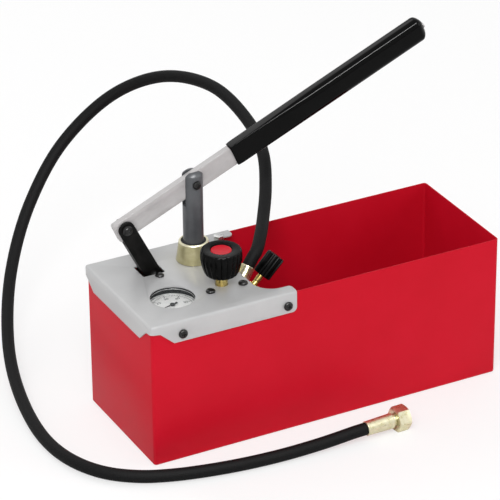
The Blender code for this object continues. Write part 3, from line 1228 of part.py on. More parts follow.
def make_shutoff():
    """The shut-off valve: bonnet in the block, spindle, fluted handwheel and its red cap."""
    at_valve = Matrix.Translation(SHUTOFF_AXIS)
    bonnet_bottom = BLOCK_TOP - BONNET_THREAD_LENGTH + GAP
    collar_top = PLATE_TOP + BONNET_COLLAR_HEIGHT
    bore = SHUTOFF_SPINDLE_RADIUS + GAP
    profile = [
        (BONNET_NECK_RADIUS, BONNET_TOP), (BONNET_NECK_RADIUS, collar_top),
        (BONNET_RADIUS, collar_top), (BONNET_RADIUS, bonnet_bottom), (bore, bonnet_bottom),
        (bore, BONNET_TOP),
    ]
    turned("shutoff_bonnet", profile, at_valve, "golden_zinc", SMALL_SIDES)
    bore_top = KNOB_BOTTOM + KNOB_BORE_DEPTH
    tip = SHUTOFF_TIP_HEIGHT + SHUTOFF_SPINDLE_RADIUS
    profile = [
        (0, bore_top - GAP), (SHUTOFF_SPINDLE_RADIUS, bore_top - GAP), (SHUTOFF_SPINDLE_RADIUS, tip),
        (0, SHUTOFF_TIP_HEIGHT),
    ]
    turned("shutoff_spindle", profile, at_valve, "golden_zinc", SMALL_SIDES)
    knob_top = KNOB_BOTTOM + KNOB_HEIGHT
    shoulder = KNOB_BOTTOM + KNOB_HEIGHT * KNOB_SHOULDER_SHARE
    recess_radius = CAP_RADIUS + GAP
    recess_floor = knob_top - CAP_BELOW_RIM - CAP_THICKNESS - GAP
    under_rim = (knob_top + shoulder) / 2
    upper_radius = KNOB_TOP_RADIUS + (KNOB_SHOULDER_RADIUS - KNOB_TOP_RADIUS) * KNOB_UPPER_SHARE
    profile = [
        (0, recess_floor), (recess_radius, recess_floor), (recess_radius, knob_top),
        (KNOB_TOP_RADIUS, knob_top), (upper_radius, under_rim), (KNOB_SHOULDER_RADIUS, shoulder),
        (KNOB_FOOT_RADIUS, KNOB_BOTTOM + KNOB_FOOT_CHAMFER),
        (KNOB_FOOT_RADIUS - KNOB_FOOT_CHAMFER, KNOB_BOTTOM), (bore, KNOB_BOTTOM), (bore, bore_top),
        (0, bore_top),
    ]
    knob = turned("shutoff_knob", profile, at_valve, "black_plastic", KNOB_RIBS * KNOB_SIDES_PER_RIB)
    fluted(knob, KNOB_RIBS, KNOB_FLUTE_DEPTH, CAP_RADIUS, KNOB_BOTTOM + KNOB_FOOT_CHAMFER, under_rim)
    cap_low = recess_floor + GAP
    turned("shutoff_cap", disc(CAP_RADIUS, cap_low, cap_low + CAP_THICKNESS), at_valve, "cap_red")


def make_release():
    """The release valve, tilted towards the open end: bonnet, spindle and fluted knob."""
    frame = aim(RELEASE_FACE, RELEASE_AXIS)
    bore = RELEASE_SPINDLE_RADIUS + GAP
    hex_top = GAP + RELEASE_BONNET_HEX_HEIGHT
    neck_top = hex_top + RELEASE_BONNET_NECK_HEIGHT
    bonnet = turned("release_bonnet", disc(RELEASE_BONNET_NECK_RADIUS, GAP, neck_top), frame,
                    "golden_zinc", SMALL_SIDES)
    join(bonnet, prism("release_hexagon", [hexagon(RELEASE_BONNET_FLATS)], GAP, hex_top, frame))
    thread = disc(RELEASE_THREAD_RADIUS, -RELEASE_THREAD_LENGTH, hex_top / 2)
    join(bonnet, turned("release_thread", thread, frame, sides=SMALL_SIDES))
    through = disc(bore, -RELEASE_THREAD_LENGTH - OVERRUN, neck_top + OVERRUN)
    cut(bonnet, turned("release_bonnet_bore", through, frame, sides=SMALL_SIDES))
    spindle_top = RELEASE_KNOB_START + RELEASE_KNOB_BORE_DEPTH - GAP
    back = RELEASE_SPINDLE_TIP_BACK
    profile = [
        (0, spindle_top), (RELEASE_SPINDLE_RADIUS, spindle_top),
        (RELEASE_SPINDLE_RADIUS, RELEASE_SPINDLE_RADIUS - back), (RELEASE_SPINDLE_TIP_RADIUS, -back),
        (0, -back),
    ]
    turned("release_spindle", profile, frame, "golden_zinc", SMALL_SIDES)
    start, end = RELEASE_KNOB_START, RELEASE_KNOB_START + RELEASE_KNOB_LENGTH
    chamfer = RELEASE_KNOB_CHAMFER
    profile = [
        (0, end), (RELEASE_KNOB_RADIUS - chamfer, end), (RELEASE_KNOB_RADIUS, end - chamfer),
        (RELEASE_KNOB_RADIUS, start + chamfer), (RELEASE_KNOB_RADIUS - chamfer, start), (bore, start),
        (bore, start + RELEASE_KNOB_BORE_DEPTH), (0, start + RELEASE_KNOB_BORE_DEPTH),
    ]
    sides = RELEASE_KNOB_RIBS * RELEASE_KNOB_SIDES_PER_RIB
    knob = turned("release_knob", profile, frame, "black_plastic", sides)
    fluted(knob, RELEASE_KNOB_RIBS, RELEASE_KNOB_FLUTE_DEPTH, RELEASE_SPINDLE_RADIUS * 2)


def make_delivery():
    """The delivery valve's ball, spring and plug in the block, and the pipe up from the foot valve."""
    at_delivery = Matrix.Translation(DELIVERY_AXIS)
    seat_rise = math.sqrt(DELIVERY_BALL_RADIUS ** 2 - DELIVERY_SEAT_RADIUS ** 2)
    ball_height = DELIVERY_SEAT_HEIGHT + seat_rise + GAP
    make_ball("delivery_ball", DELIVERY_AXIS + ball_height * UP, DELIVERY_BALL_RADIUS)
    thread_bottom = DELIVERY_TOP - PLUG_THREAD_LENGTH
    hex_bottom = DELIVERY_TOP + GAP
    thread = disc(DELIVERY_BORE_RADIUS - GAP, thread_bottom, hex_bottom + GAP)
    plug = turned("delivery_plug", thread, at_delivery, "bright_steel", SMALL_SIDES)
    join(plug, prism("plug_hexagon", [hexagon(PLUG_FLATS)], hex_bottom, hex_bottom + PLUG_HEX_HEIGHT,
                     at_delivery))
    low = ball_height + DELIVERY_BALL_RADIUS + GAP + SPRING_WIRE_RADIUS
    high = thread_bottom - GAP - SPRING_WIRE_RADIUS
    steps = SPRING_TURNS * SPRING_POINTS_PER_TURN
    points = []
    for i in range(steps + 1):
        angle = math.tau * i / SPRING_POINTS_PER_TURN
        swing = Vector((math.cos(angle), math.sin(angle), 0)) * SPRING_RADIUS
        points.append(DELIVERY_AXIS + swing + (low + (high - low) * i / steps) * UP)
    rod_along("delivery_spring", points, SPRING_WIRE_RADIUS, 0, "bright_steel")

    outward = Vector((DELIVERY_AXIS.x - PUMP_AXIS.x, DELIVERY_AXIS.y - PUMP_AXIS.y, 0))
    reach = outward.length
    outward.normalize()
    bend, start = PIPE_BEND_RADIUS, FOOT_BOSS_REACH + GAP
    route = [(start, FOOT_PORT_HEIGHT)]
    route += arc(reach - bend, FOOT_PORT_HEIGHT + bend, bend, -90, 0, PIPE_BEND_STEPS)
    route.append((reach, BLOCK_BOTTOM - GAP))
    places = [PUMP_AXIS + out * outward + height * UP for out, height in route]
    pipe = rod_along("delivery_pipe", places, PIPE_RADIUS, 2, "bright_steel")
    route[0] = (start - OVERRUN, FOOT_PORT_HEIGHT)
    route[-1] = (reach, BLOCK_BOTTOM + OVERRUN)
    places = [PUMP_AXIS + out * outward + height * UP for out, height in route]
    cut(pipe, rod_along("pipe_bore", places, PIPE_RADIUS - PIPE_WALL, 2, None))
    nut_bore = PIPE_RADIUS + GAP
    nut_top = BLOCK_BOTTOM - GAP
    make_nut("pipe_nut_upper", PIPE_NUT_FLATS, nut_bore, nut_top - PIPE_NUT_LENGTH, nut_top, at_delivery,
             "golden_zinc")
    lower = aim(PUMP_AXIS + FOOT_PORT_HEIGHT * UP, outward)
    make_nut("pipe_nut_lower", PIPE_NUT_FLATS, nut_bore, start, start + PIPE_NUT_LENGTH, lower,
             "golden_zinc")
    make_foot_valve(lower)


def make_ball(name, place, radius):
    """A steel valve ball."""
    shape = bmesh.new()
    bmesh.ops.create_uvsphere(shape, u_segments=SMALL_SIDES, v_segments=SMALL_SIDES // 2, radius=radius)
    placed(name, mesh_from(name, shape), Matrix.Translation(place), "bright_steel")


def make_foot_valve(port_frame):
    """The foot valve at the barrel's end, its ball and the strainer that carries the seat."""
    at_pump = Matrix.Translation(PUMP_AXIS)
    spigot_top = FOOT_TOP + FOOT_SPIGOT_HEIGHT
    spigot_outer = BARREL_BORE_RADIUS - GAP
    chamber_top = FOOT_TOP - FOOT_LIP_THICKNESS
    thread_top = FOOT_BOTTOM + FOOT_THREAD_DEPTH
    thread_radius = FOOT_THREAD_RADIUS + GAP
    profile = [
        (spigot_outer, spigot_top), (spigot_outer, FOOT_TOP), (BARREL_RADIUS, FOOT_TOP),
        (BARREL_RADIUS, FOOT_BOTTOM), (thread_radius, FOOT_BOTTOM), (thread_radius, thread_top),
        (FOOT_CHAMBER_RADIUS, thread_top), (FOOT_CHAMBER_RADIUS, chamber_top),
        (FOOT_LIP_RADIUS, chamber_top), (FOOT_LIP_RADIUS, FOOT_TOP), (FOOT_SPIGOT_BORE_RADIUS, FOOT_TOP),
        (FOOT_SPIGOT_BORE_RADIUS, spigot_top),
    ]
    body = turned("foot_valve_body", profile, at_pump, "brass")
    boss_start = (FOOT_CHAMBER_RADIUS + BARREL_RADIUS) / 2
    boss = disc(FOOT_BOSS_RADIUS, boss_start, FOOT_BOSS_REACH)
    join(body, turned("foot_boss", boss, port_frame, sides=SMALL_SIDES))
    port = disc(FOOT_PORT_RADIUS, FOOT_LIP_RADIUS, FOOT_BOSS_REACH + OVERRUN)
    cut(body, turned("foot_port", port, port_frame, sides=DRILL_SIDES))

    seat_rise = math.sqrt(SUCTION_BALL_RADIUS ** 2 - SUCTION_SEAT_RADIUS ** 2)
    ball_height = SUCTION_SEAT_HEIGHT + seat_rise + GAP
    make_ball("suction_ball", PUMP_AXIS + ball_height * UP, SUCTION_BALL_RADIUS)

    cup_top = FOOT_BOTTOM - GAP
    inner = STRAINER_RADIUS - STRAINER_WALL
    profile = [
        (SUCTION_SEAT_RADIUS, SUCTION_SEAT_HEIGHT), (FOOT_THREAD_RADIUS, SUCTION_SEAT_HEIGHT),
        (FOOT_THREAD_RADIUS, cup_top), (STRAINER_RADIUS, cup_top), (STRAINER_RADIUS, STRAINER_BOTTOM),
        (0, STRAINER_BOTTOM), (0, STRAINER_BOTTOM + STRAINER_WALL), (inner, STRAINER_BOTTOM + STRAINER_WALL),
        (inner, cup_top - STRAINER_ROOF), (SUCTION_SEAT_RADIUS, cup_top - STRAINER_ROOF),
    ]
    strainer = turned("suction_strainer", profile, at_pump, "strainer_white")
    slot_low = STRAINER_BOTTOM + STRAINER_WALL + OVERRUN
    half = Vector((STRAINER_RADIUS + OVERRUN, STRAINER_SLOT_WIDTH / 2, 0))
    for i in range(STRAINER_SLOT_PAIRS):
        turn = Matrix.Rotation(math.pi * i / STRAINER_SLOT_PAIRS, 4, "Z")
        low = slot_low * UP - half
        high = (slot_low + STRAINER_SLOT_HEIGHT) * UP + half
        cut(strainer, box(f"strainer_slot_{i}", low, high, at_pump @ turn))


def make_port_fittings():
    """The nipple in the block and the ferrule pressed on the hose's first end."""
    frame = aim(PORT_END, PORT_AXIS)
    hex_top = -FERRULE_LENGTH - GAP
    hex_bottom = hex_top - NIPPLE_HEX_HEIGHT
    stem_top = -FERRULE_WALL * 2 - GAP
    stem = disc(NIPPLE_STEM_RADIUS, hex_bottom, stem_top)
    nipple = turned("hose_nipple", stem, frame, "bright_steel", SMALL_SIDES)
    join(nipple, prism("nipple_hexagon", [hexagon(NIPPLE_FLATS)], hex_bottom, hex_top, frame))
    thread = disc(NIPPLE_THREAD_RADIUS, hex_bottom - NIPPLE_THREAD_LENGTH, hex_bottom + GAP)
    join(nipple, turned("nipple_thread", thread, frame, sides=SMALL_SIDES))
    passage = disc(NIPPLE_BORE_RADIUS, hex_bottom - NIPPLE_THREAD_LENGTH - OVERRUN, stem_top + OVERRUN)
    cut(nipple, turned("nipple_passage", passage, frame, sides=DRILL_SIDES))
    ferrule("pump_ferrule", frame, FERRULE_RADIUS, FERRULE_RADIUS, FERRULE_LENGTH,
            NIPPLE_STEM_RADIUS + GAP, "bright_steel")


def ferrule(name, frame, start_radius, end_radius, length, bore, finish):
    """A pressed sleeve with eased ends, from the frame back along its axis, blind at the hose."""
    lip = FERRULE_LIP_RADIUS
    blind = -FERRULE_WALL * 2
    profile = [
        (0, 0), (start_radius - lip, 0), (start_radius, -lip), (end_radius, lip - length),
        (end_radius - lip, -length), (bore, -length), (bore, blind), (0, blind),
    ]
    return turned(name, profile, frame, finish, ROUND_SIDES)


END_AXIS = Vector((math.cos(END_HEADING), math.sin(END_HEADING), 0))
END_START = from_corner(END_ALONG, -END_BEFORE_FRONT, SWIVEL_NUT_FLATS / 2)


def make_end_fittings():
    """The ferrule, tail, swivel nut and washer at the hose's free end, lying on the floor."""
    backwards = aim(END_START, -END_AXIS)
    bore = TAIL_BORE_RADIUS + FERRULE_WALL + GAP
    ferrule("end_ferrule", backwards, END_FERRULE_SMALL_RADIUS, END_FERRULE_RADIUS, END_FERRULE_LENGTH,
            bore, "golden_zinc")
    frame = aim(END_START, END_AXIS)
    stem_start = FERRULE_WALL * 2 + GAP
    neck_start = END_FERRULE_LENGTH + GAP
    nut_start = neck_start + END_NECK_LENGTH
    collar_start = nut_start + SWIVEL_NUT_WALL + GAP
    collar_end = collar_start + TAIL_COLLAR_LENGTH
    profile = [
        (TAIL_BORE_RADIUS, collar_end), (TAIL_COLLAR_RADIUS, collar_end),
        (TAIL_COLLAR_RADIUS, collar_start), (TAIL_NECK_RADIUS, collar_start),
        (TAIL_NECK_RADIUS, nut_start), (END_NECK_RADIUS, nut_start), (END_NECK_RADIUS, neck_start),
        (bore - GAP, neck_start), (bore - GAP, stem_start), (TAIL_BORE_RADIUS, stem_start),
    ]
    profile.reverse()
    turned("hose_tail", profile, frame, "golden_zinc", SMALL_SIDES)
    nut_end = nut_start + SWIVEL_NUT_LENGTH
    nut = prism("swivel_nut", [hexagon(SWIVEL_NUT_FLATS)], nut_start + GAP, nut_end, frame, "golden_zinc")
    cut(nut, turned("nut_mouth", disc(SWIVEL_NUT_BORE_RADIUS, collar_start, nut_end + OVERRUN), frame))
    hole = disc(TAIL_NECK_RADIUS + GAP, nut_start - OVERRUN, nut_end)
    cut(nut, turned("nut_neck_hole", hole, frame, sides=SMALL_SIDES))
    washer_start = collar_end + GAP
    washer = ring(WASHER_BORE_RADIUS, TAIL_COLLAR_RADIUS, washer_start, washer_start + WASHER_THICKNESS)
    turned("sealing_washer", washer, frame, "seal_rubber")


def smooth_points(guides, count):
    """Evenly spaced places on a smooth curve through the guide points, its two end runs straight."""
    dense = []
    for before, start, end, after in zip(guides, guides[1:], guides[2:], guides[3:]):
        times = [0]
        for a, b in ((before, start), (start, end), (end, after)):
            times.append(times[-1] + math.sqrt((b - a).length))
        leave = (start - before) / times[1] - (end - before) / times[2]
        leave += (end - start) / (times[2] - times[1])
        arrive = (end - start) / (times[2] - times[1]) - (after - start) / (times[3] - times[1])
        arrive += (after - end) / (times[3] - times[2])
        span = times[2] - times[1]
        for i in range(HOSE_STEPS):
            t = i / HOSE_STEPS
            dense.append(
                start * (2 * t ** 3 - 3 * t ** 2 + 1) + leave * span * (t ** 3 - 2 * t ** 2 + t)
                + end * (3 * t ** 2 - 2 * t ** 3) + arrive * span * (t ** 3 - t ** 2)
            )
    dense.append(guides[-2])
    lengths = [0]
    for a, b in zip(dense, dense[1:]):
        lengths.append(lengths[-1] + (b - a).length)
    places, index = [guides[0]], 0
    for i in range(count):
        target = lengths[-1] * i / (count - 1)
        while index < len(dense) - 2 and lengths[index + 1] < target:
            index += 1
        share = (target - lengths[index]) / (lengths[index + 1] - lengths[index])
        places.append(dense[index].lerp(dense[index + 1], share))
    places.append(guides[-1])
    return places


def make_hose():
    """The free hose between its two ferrules, a plain tube along its route."""
    start, end = PORT_END + PORT_AXIS * GAP, END_START - END_AXIS * GAP
    guides = [start, start + PORT_AXIS * HOSE_LEAD]
    guides += [Vector(place) for place in HOSE_ROUTE]
    guides += [end - END_AXIS * HOSE_LEAD, end]
    rough_length = sum((b - a).length for a, b in zip(guides, guides[1:]))
    points = smooth_points(guides, round(rough_length / (HOSE_TUBE_STEP * 2 * HOSE_RADIUS)))
    rod_along("hose", points, HOSE_RADIUS, HOSE_RESOLUTION, "hose_rubber")
    length = sum((b - a).length for a, b in zip(points, points[1:]))
    print(f"hose: {length:.4f} m in {len(points)} points")


def main():
    for thing in list(bpy.data.objects):
        bpy.data.objects.remove(thing)
    make_tank()
    make_cover_plate()
    make_screws()
    make_block()
    make_barrel()
    make_gland()
    make_plunger()
    make_clevis()
    make_lever()
    make_link()
    make_link_bolt()
    make_link_bracket()
    make_gauge()
    make_shutoff()
    make_release()
    make_delivery()
    make_port_fittings()
    make_end_fittings()
    make_hose()


main()
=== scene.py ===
"""The looks of a hand-operated hydrostatic test pump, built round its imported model.

Metres, +Z up. The origin is the centre of the tank's underside, +X runs to the open end of the
trough and +Y to its rear wall. Each section makes one piece or group of like pieces.
"""

import json
import math

import bpy
from mathutils import Matrix, Vector

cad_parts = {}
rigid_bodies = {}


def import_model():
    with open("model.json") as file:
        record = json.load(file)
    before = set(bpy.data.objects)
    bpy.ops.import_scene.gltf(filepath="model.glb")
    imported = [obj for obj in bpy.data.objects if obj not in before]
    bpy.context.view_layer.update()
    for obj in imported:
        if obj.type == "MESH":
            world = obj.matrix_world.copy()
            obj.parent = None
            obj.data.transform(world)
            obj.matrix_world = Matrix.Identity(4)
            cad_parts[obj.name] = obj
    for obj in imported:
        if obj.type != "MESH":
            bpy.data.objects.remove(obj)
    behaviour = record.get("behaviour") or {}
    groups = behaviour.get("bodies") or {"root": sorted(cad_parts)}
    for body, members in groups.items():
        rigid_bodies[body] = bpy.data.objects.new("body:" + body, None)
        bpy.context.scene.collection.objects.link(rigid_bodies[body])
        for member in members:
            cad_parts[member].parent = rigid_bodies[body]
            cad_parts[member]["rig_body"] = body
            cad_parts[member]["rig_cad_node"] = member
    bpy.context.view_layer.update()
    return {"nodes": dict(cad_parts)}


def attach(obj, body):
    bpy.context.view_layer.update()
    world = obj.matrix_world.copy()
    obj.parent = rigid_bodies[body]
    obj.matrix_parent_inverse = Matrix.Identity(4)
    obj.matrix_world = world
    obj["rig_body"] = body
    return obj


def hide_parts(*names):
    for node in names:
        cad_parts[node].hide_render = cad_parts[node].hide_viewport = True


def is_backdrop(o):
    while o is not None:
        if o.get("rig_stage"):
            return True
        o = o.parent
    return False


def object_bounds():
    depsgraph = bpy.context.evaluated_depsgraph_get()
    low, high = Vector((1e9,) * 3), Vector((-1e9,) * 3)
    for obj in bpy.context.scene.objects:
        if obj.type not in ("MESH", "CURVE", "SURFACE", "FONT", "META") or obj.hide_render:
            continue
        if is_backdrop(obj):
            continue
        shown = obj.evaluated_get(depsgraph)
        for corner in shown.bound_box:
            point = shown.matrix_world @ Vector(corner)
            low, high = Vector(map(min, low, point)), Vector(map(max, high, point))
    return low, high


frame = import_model()


# The camera stands in front of the pump, to the left of it and a little above,
# far enough away that the trough's edges run nearly parallel.
CAMERA_PLACE = (-1.5292, -2.8431, 1.8839)
CAMERA_BACK = Vector((-0.4066, -0.7858, 0.4661)).normalized()
CAMERA_ROLL = math.radians(-0.5586)
CAMERA_LENS = 225.25

bpy.ops.object.camera_add(location=CAMERA_PLACE)
camera = bpy.context.object
level = Vector((0, 0, 1)).cross(CAMERA_BACK).normalized()
turn = Matrix((level, CAMERA_BACK.cross(level), CAMERA_BACK)).transposed()
camera.rotation_euler = (turn @ Matrix.Rotation(CAMERA_ROLL, 3, "Z")).to_euler()
camera.data.lens = CAMERA_LENS
camera.data.sensor_width = 36
camera.data.clip_end = 50
bpy.context.scene.camera = camera


# Test hose: black rubber with a textile braid inside, wrapped in cloth tape while it was cured,
# which left a fine weave on it. It lies freely from the block, over the rear wall to the floor.
HOSE_RADIUS = 0.0075
HOSE_LENGTH = 1.488
HOSE_LEAD = 0.012
HOSE_POINTS = 252
HOSE_STEPS = 64
HOSE_WEAVE_PITCH = 0.0016
PORT_END = Vector((-0.06345, -0.005, 0.1798))
PORT_AXIS = Vector((0.65, 0.25, 0.72)).normalized()
END_START = Vector((0.01425, -0.1466, 0.0135))
END_AXIS = Vector((0.999194, 0.040132, 0))
CLEARANCE = 0.0003
HOSE_ROUTE = [
    (-0.05, 0.0002, 0.1932), (-0.034, 0.02, 0.2005), (-0.013, 0.052, 0.208),
    (0.009, 0.088, 0.223), (0.031, 0.136, 0.243), (0.04, 0.19, 0.26),
    (0.032, 0.272, 0.276), (-0.001, 0.342, 0.268), (-0.05, 0.384, 0.237),
    (-0.116, 0.395, 0.181), (-0.176, 0.367, 0.123), (-0.23, 0.307, 0.071),
    (-0.278, 0.212, 0.032), (-0.305, 0.121, 0.0145), (-0.318, 0.022, 0.008),
    (-0.311, -0.038, 0.008), (-0.29, -0.08, 0.008), (-0.259, -0.107, 0.008),
    (-0.223, -0.123, 0.008), (-0.164, -0.137, 0.008), (-0.102, -0.144, 0.0082),
    (-0.044, -0.1465, 0.0102),
]


def smooth_line(guides):
    """Close places on the smooth curve through the guide points, all but its two end runs."""
    line = []
    for before, start, end, after in zip(guides, guides[1:], guides[2:], guides[3:]):
        times = [0]
        for a, b in ((before, start), (start, end), (end, after)):
            times.append(times[-1] + math.sqrt((b - a).length))
        leave = (start - before) / times[1] - (end - before) / times[2]
        leave += (end - start) / (times[2] - times[1])
        arrive = (end - start) / (times[2] - times[1]) - (after - start) / (times[3] - times[1])
        arrive += (after - end) / (times[3] - times[2])
        span = times[2] - times[1]
        for i in range(HOSE_STEPS):
            t = i / HOSE_STEPS
            line.append(
                start * (2 * t ** 3 - 3 * t ** 2 + 1) + leave * span * (t ** 3 - 2 * t ** 2 + t)
                + end * (3 * t ** 2 - 2 * t ** 3) + arrive * span * (t ** 3 - t ** 2)
            )
    return line + [guides[-2]]


def linear(code):
    """A colour from its sRGB hex value."""
    parts = [int(code[i:i + 2], 16) / 255 for i in (0, 2, 4)]
    return (*(p / 12.92 if p <= 0.04045 else ((p + 0.055) / 1.055) ** 2.4 for p in parts), 1)


def add(tree, kind, sockets, **settings):
    """A shader node with its settings, each socket given a value or a link."""
    made = tree.nodes.new("ShaderNode" + kind)
    for name, value in settings.items():
        setattr(made, name, value)
    for name, value in sockets.items():
        if isinstance(value, bpy.types.NodeSocket):
            tree.links.new(value, made.inputs[name])
        else:
            made.inputs[name].default_value = value
    return made


def new_finish(name, metallic=0.0, coat=0.0, specular=0.5):
    """An empty finish: its material, its tree and its Principled shader."""
    made = bpy.data.materials.new(name)
    made.use_nodes = True
    shader = made.node_tree.nodes["Principled BSDF"]
    shader.inputs["Metallic"].default_value = metallic
    shader.inputs["Coat Weight"].default_value = coat
    shader.inputs["Coat Roughness"].default_value = 0.12
    shader.inputs["Specular IOR Level"].default_value = specular
    return made, made.node_tree, shader


# Matt rubber, near black, a little grey where the wrap's ridges rub. The weave's real pitch of
# half a millimetre is too fine to show, so it is drawn three times as coarse.
hose_rubber, tree, shader = new_finish("hose_rubber_wrapped", specular=0.1)
around = add(tree, "UVMap", {})
turns = (HOSE_LENGTH / HOSE_WEAVE_PITCH, math.tau * HOSE_RADIUS / HOSE_WEAVE_PITCH, 1)
stretched = add(tree, "Mapping", {"Vector": around.outputs["UV"], "Scale": turns})
weave = add(tree, "TexVoronoi", {"Vector": stretched.outputs[0], "Scale": 1.0, "Randomness": 0.35})
rubbed = add(tree, "MapRange", {"Value": weave.outputs["Distance"], "From Min": 0.1, "From Max": 0.7})
tints = {6: linear("161617"), 7: linear("060606")}
shade = add(tree, "Mix", {"Factor": rubbed.outputs[0], **tints}, data_type="RGBA")
tree.links.new(shade.outputs[2], shader.inputs["Base Color"])
raised = {"Height": weave.outputs["Distance"], "Distance": 0.0004, "Strength": 0.8}
bump = add(tree, "Bump", raised, invert=True)
tree.links.new(bump.outputs["Normal"], shader.inputs["Normal"])
shader.inputs["Roughness"].default_value = 0.62

start = PORT_END + PORT_AXIS * CLEARANCE
end = END_START - END_AXIS * CLEARANCE
guides = [start, start + PORT_AXIS * HOSE_LEAD]
guides += [Vector(place) for place in HOSE_ROUTE]
guides += [end - END_AXIS * HOSE_LEAD, end]
line = smooth_line(guides)
lengths = [0]
for a, b in zip(line, line[1:]):
    lengths.append(lengths[-1] + (b - a).length)
places, index = [guides[0]], 0
for i in range(HOSE_POINTS):
    target = lengths[-1] * i / (HOSE_POINTS - 1)
    while index < len(line) - 2 and lengths[index + 1] < target:
        index += 1
    share = (target - lengths[index]) / (lengths[index + 1] - lengths[index])
    places.append(line[index].lerp(line[index + 1], share))
places.append(guides[-1])


def only(piece=None):
    """Nothing selected but this piece, if one is given, which becomes the active one."""
    bpy.ops.object.select_all(action="DESELECT")
    if piece is not None:
        piece.select_set(True)
        bpy.context.view_layer.objects.active = piece


def tube(name, places, radius, steps):
    """A round tube along a line of places, as a curve."""
    only()
    bpy.ops.curve.primitive_nurbs_path_add()
    made = bpy.context.object
    made.name = name
    made.data.splines.clear()
    spline = made.data.splines.new("POLY")
    spline.points.add(len(places) - 1)
    for point, place in zip(spline.points, places):
        point.co = (*place, 1)
    spline.use_smooth = True
    made.data.bevel_depth = radius
    made.data.bevel_resolution = steps
    return made


hose = tube("hose_tube", places, HOSE_RADIUS, 10)
hose.data.name = "hose_tube"
hose.data.use_fill_caps = True
hose.data.materials.append(hose_rubber)
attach(hose, "base")
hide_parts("hose")


# Tank: one sheet of mild steel 1.5 mm thick, folded and welded into an open trough with its
# corners ground round, then powder coated red inside and out.
TANK_HALF_LENGTH = 0.22725
TANK_HALF_WIDTH = 0.085
TANK_HEIGHT = 0.1796
TANK_WALL = 0.0015
TANK_CORNER = 0.004
TANK_FOLD = 0.0022
SMOOTH_BELOW = math.radians(32)


def aim(place, axis):
    """The frame at a place whose Z runs along an axis and whose Y is as near to up as it can be."""
    along = Vector(axis).normalized()
    hint = Vector((0, 1, 0)) if abs(along.z) > 0.9999 else Vector((0, 0, 1))
    side = hint.cross(along).normalized()
    turn = Matrix((side, along.cross(side), along)).transposed().to_4x4()
    return Matrix.Translation(place) @ turn


def leave():
    """Back out of edit mode."""
    bpy.ops.object.mode_set(mode="OBJECT")


def opened(piece, action):
    """This piece alone in edit mode, with all or none of its mesh selected."""
    only(piece)
    bpy.ops.object.mode_set(mode="EDIT")
    bpy.ops.mesh.select_all(action=action)


def pick(piece, kind, test):
    """In edit mode, the faces or edges that pass a test selected, and nothing else."""
    opened(piece, "DESELECT")
    leave()
    for part in getattr(piece.data, kind):
        part.select = test(part)
    bpy.ops.object.mode_set(mode="EDIT")
    bpy.ops.mesh.select_mode(type={"polygons": "FACE", "edges": "EDGE"}[kind])


def block(name, low, high):
    """A box between two corners, ready to be shaped."""
    only()
    bpy.ops.mesh.primitive_cube_add(size=1, location=(Vector(low) + Vector(high)) / 2)
    piece = bpy.context.object
    piece.name = name
    piece.scale = Vector(high) - Vector(low)
    bpy.ops.object.transform_apply()
    return piece


def applied(piece, kind, **settings):
    """One modifier added to a piece with its settings, and applied."""
    only(piece)
    made = piece.modifiers.new(kind.title(), kind)
    for name, value in settings.items():
        setattr(made, name, value)
    bpy.ops.object.modifier_apply(modifier=made.name)
    return piece


def softened(piece, width, angle=30, segments=2):
    """The sharp edges of a piece rounded to a radius."""
    return applied(piece, "BEVEL", width=width, segments=segments, limit_method="ANGLE",
                   angle_limit=math.radians(angle), harden_normals=False)


def combined(piece, operation, *others):
    """A piece joined with others, cut by them or cut down to them, and the others thrown away."""
    for other in others:
        applied(piece, "BOOLEAN", operation=operation, object=other, solver="EXACT")
        bpy.data.objects.remove(other)
    return piece


def cut(piece, *cutters):
    """Each cutter taken out of a piece."""
    return combined(piece, "DIFFERENCE", *cutters)


def settled(piece, place=None):
    """A piece brought to its place, with its place in its mesh, smooth but for its sharp edges."""
    only(piece)
    if place is not None:
        piece.matrix_world = place @ piece.matrix_world
    bpy.ops.object.transform_apply()
    bpy.ops.object.shade_smooth_by_angle(angle=SMOOTH_BELOW)
    return piece


def fitted(piece, body, material, slot, *nodes, place=None):
    """A piece settled, with its material, its body and the nodes that it stands for; its slot is not used.
    """
    settled(piece, place)
    piece.data.materials.clear()
    piece.data.materials.append(material)
    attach(piece, body)
    if nodes:
        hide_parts(*nodes)
    return piece


def run(edge):
    """The way from one end of an edge of the active mesh to its other end."""
    a, b = (bpy.context.object.data.vertices[i].co for i in edge.vertices)
    return b - a


trough = block("trough", (-TANK_HALF_LENGTH, -TANK_HALF_WIDTH, 0),
               (TANK_HALF_LENGTH, TANK_HALF_WIDTH, TANK_HEIGHT))
pick(trough, "polygons", lambda face: face.normal.z > 0.5)
bpy.ops.mesh.delete(type="ONLY_FACE")
leave()
pick(trough, "edges", lambda edge: run(edge).to_2d().length < 1e-6)
bpy.ops.mesh.bevel(offset=TANK_CORNER, segments=6, affect="EDGES")
leave()
pick(trough, "edges", lambda edge: all(trough.data.vertices[i].co.z < 1e-6 for i in edge.vertices))
bpy.ops.mesh.bevel(offset=TANK_FOLD, segments=4, affect="EDGES")
leave()
applied(trough, "SOLIDIFY", thickness=TANK_WALL, offset=-1, use_even_offset=True)
softened(trough, 0.0004, 60)


def patchy(tree, shader, where, dark, pale, rough, patch):
    """Colour and roughness that drift between two values over patches of a size in metres."""
    cloud = add(tree, "TexNoise", {"Vector": where, "Scale": 1 / patch, "Detail": 6.0, "Roughness": 0.6})
    drift = {"Value": cloud.outputs["Fac"], "From Min": 0.3, "From Max": 0.7}
    spread = add(tree, "MapRange", drift)
    tints = {6: linear(dark), 7: linear(pale)}
    mix = add(tree, "Mix", {"Factor": spread.outputs[0], **tints}, data_type="RGBA")
    dull = add(tree, "MapRange", {**drift, "To Min": rough[0], "To Max": rough[1]})
    tree.links.new(mix.outputs[2], shader.inputs["Base Color"])
    tree.links.new(dull.outputs[0], shader.inputs["Roughness"])


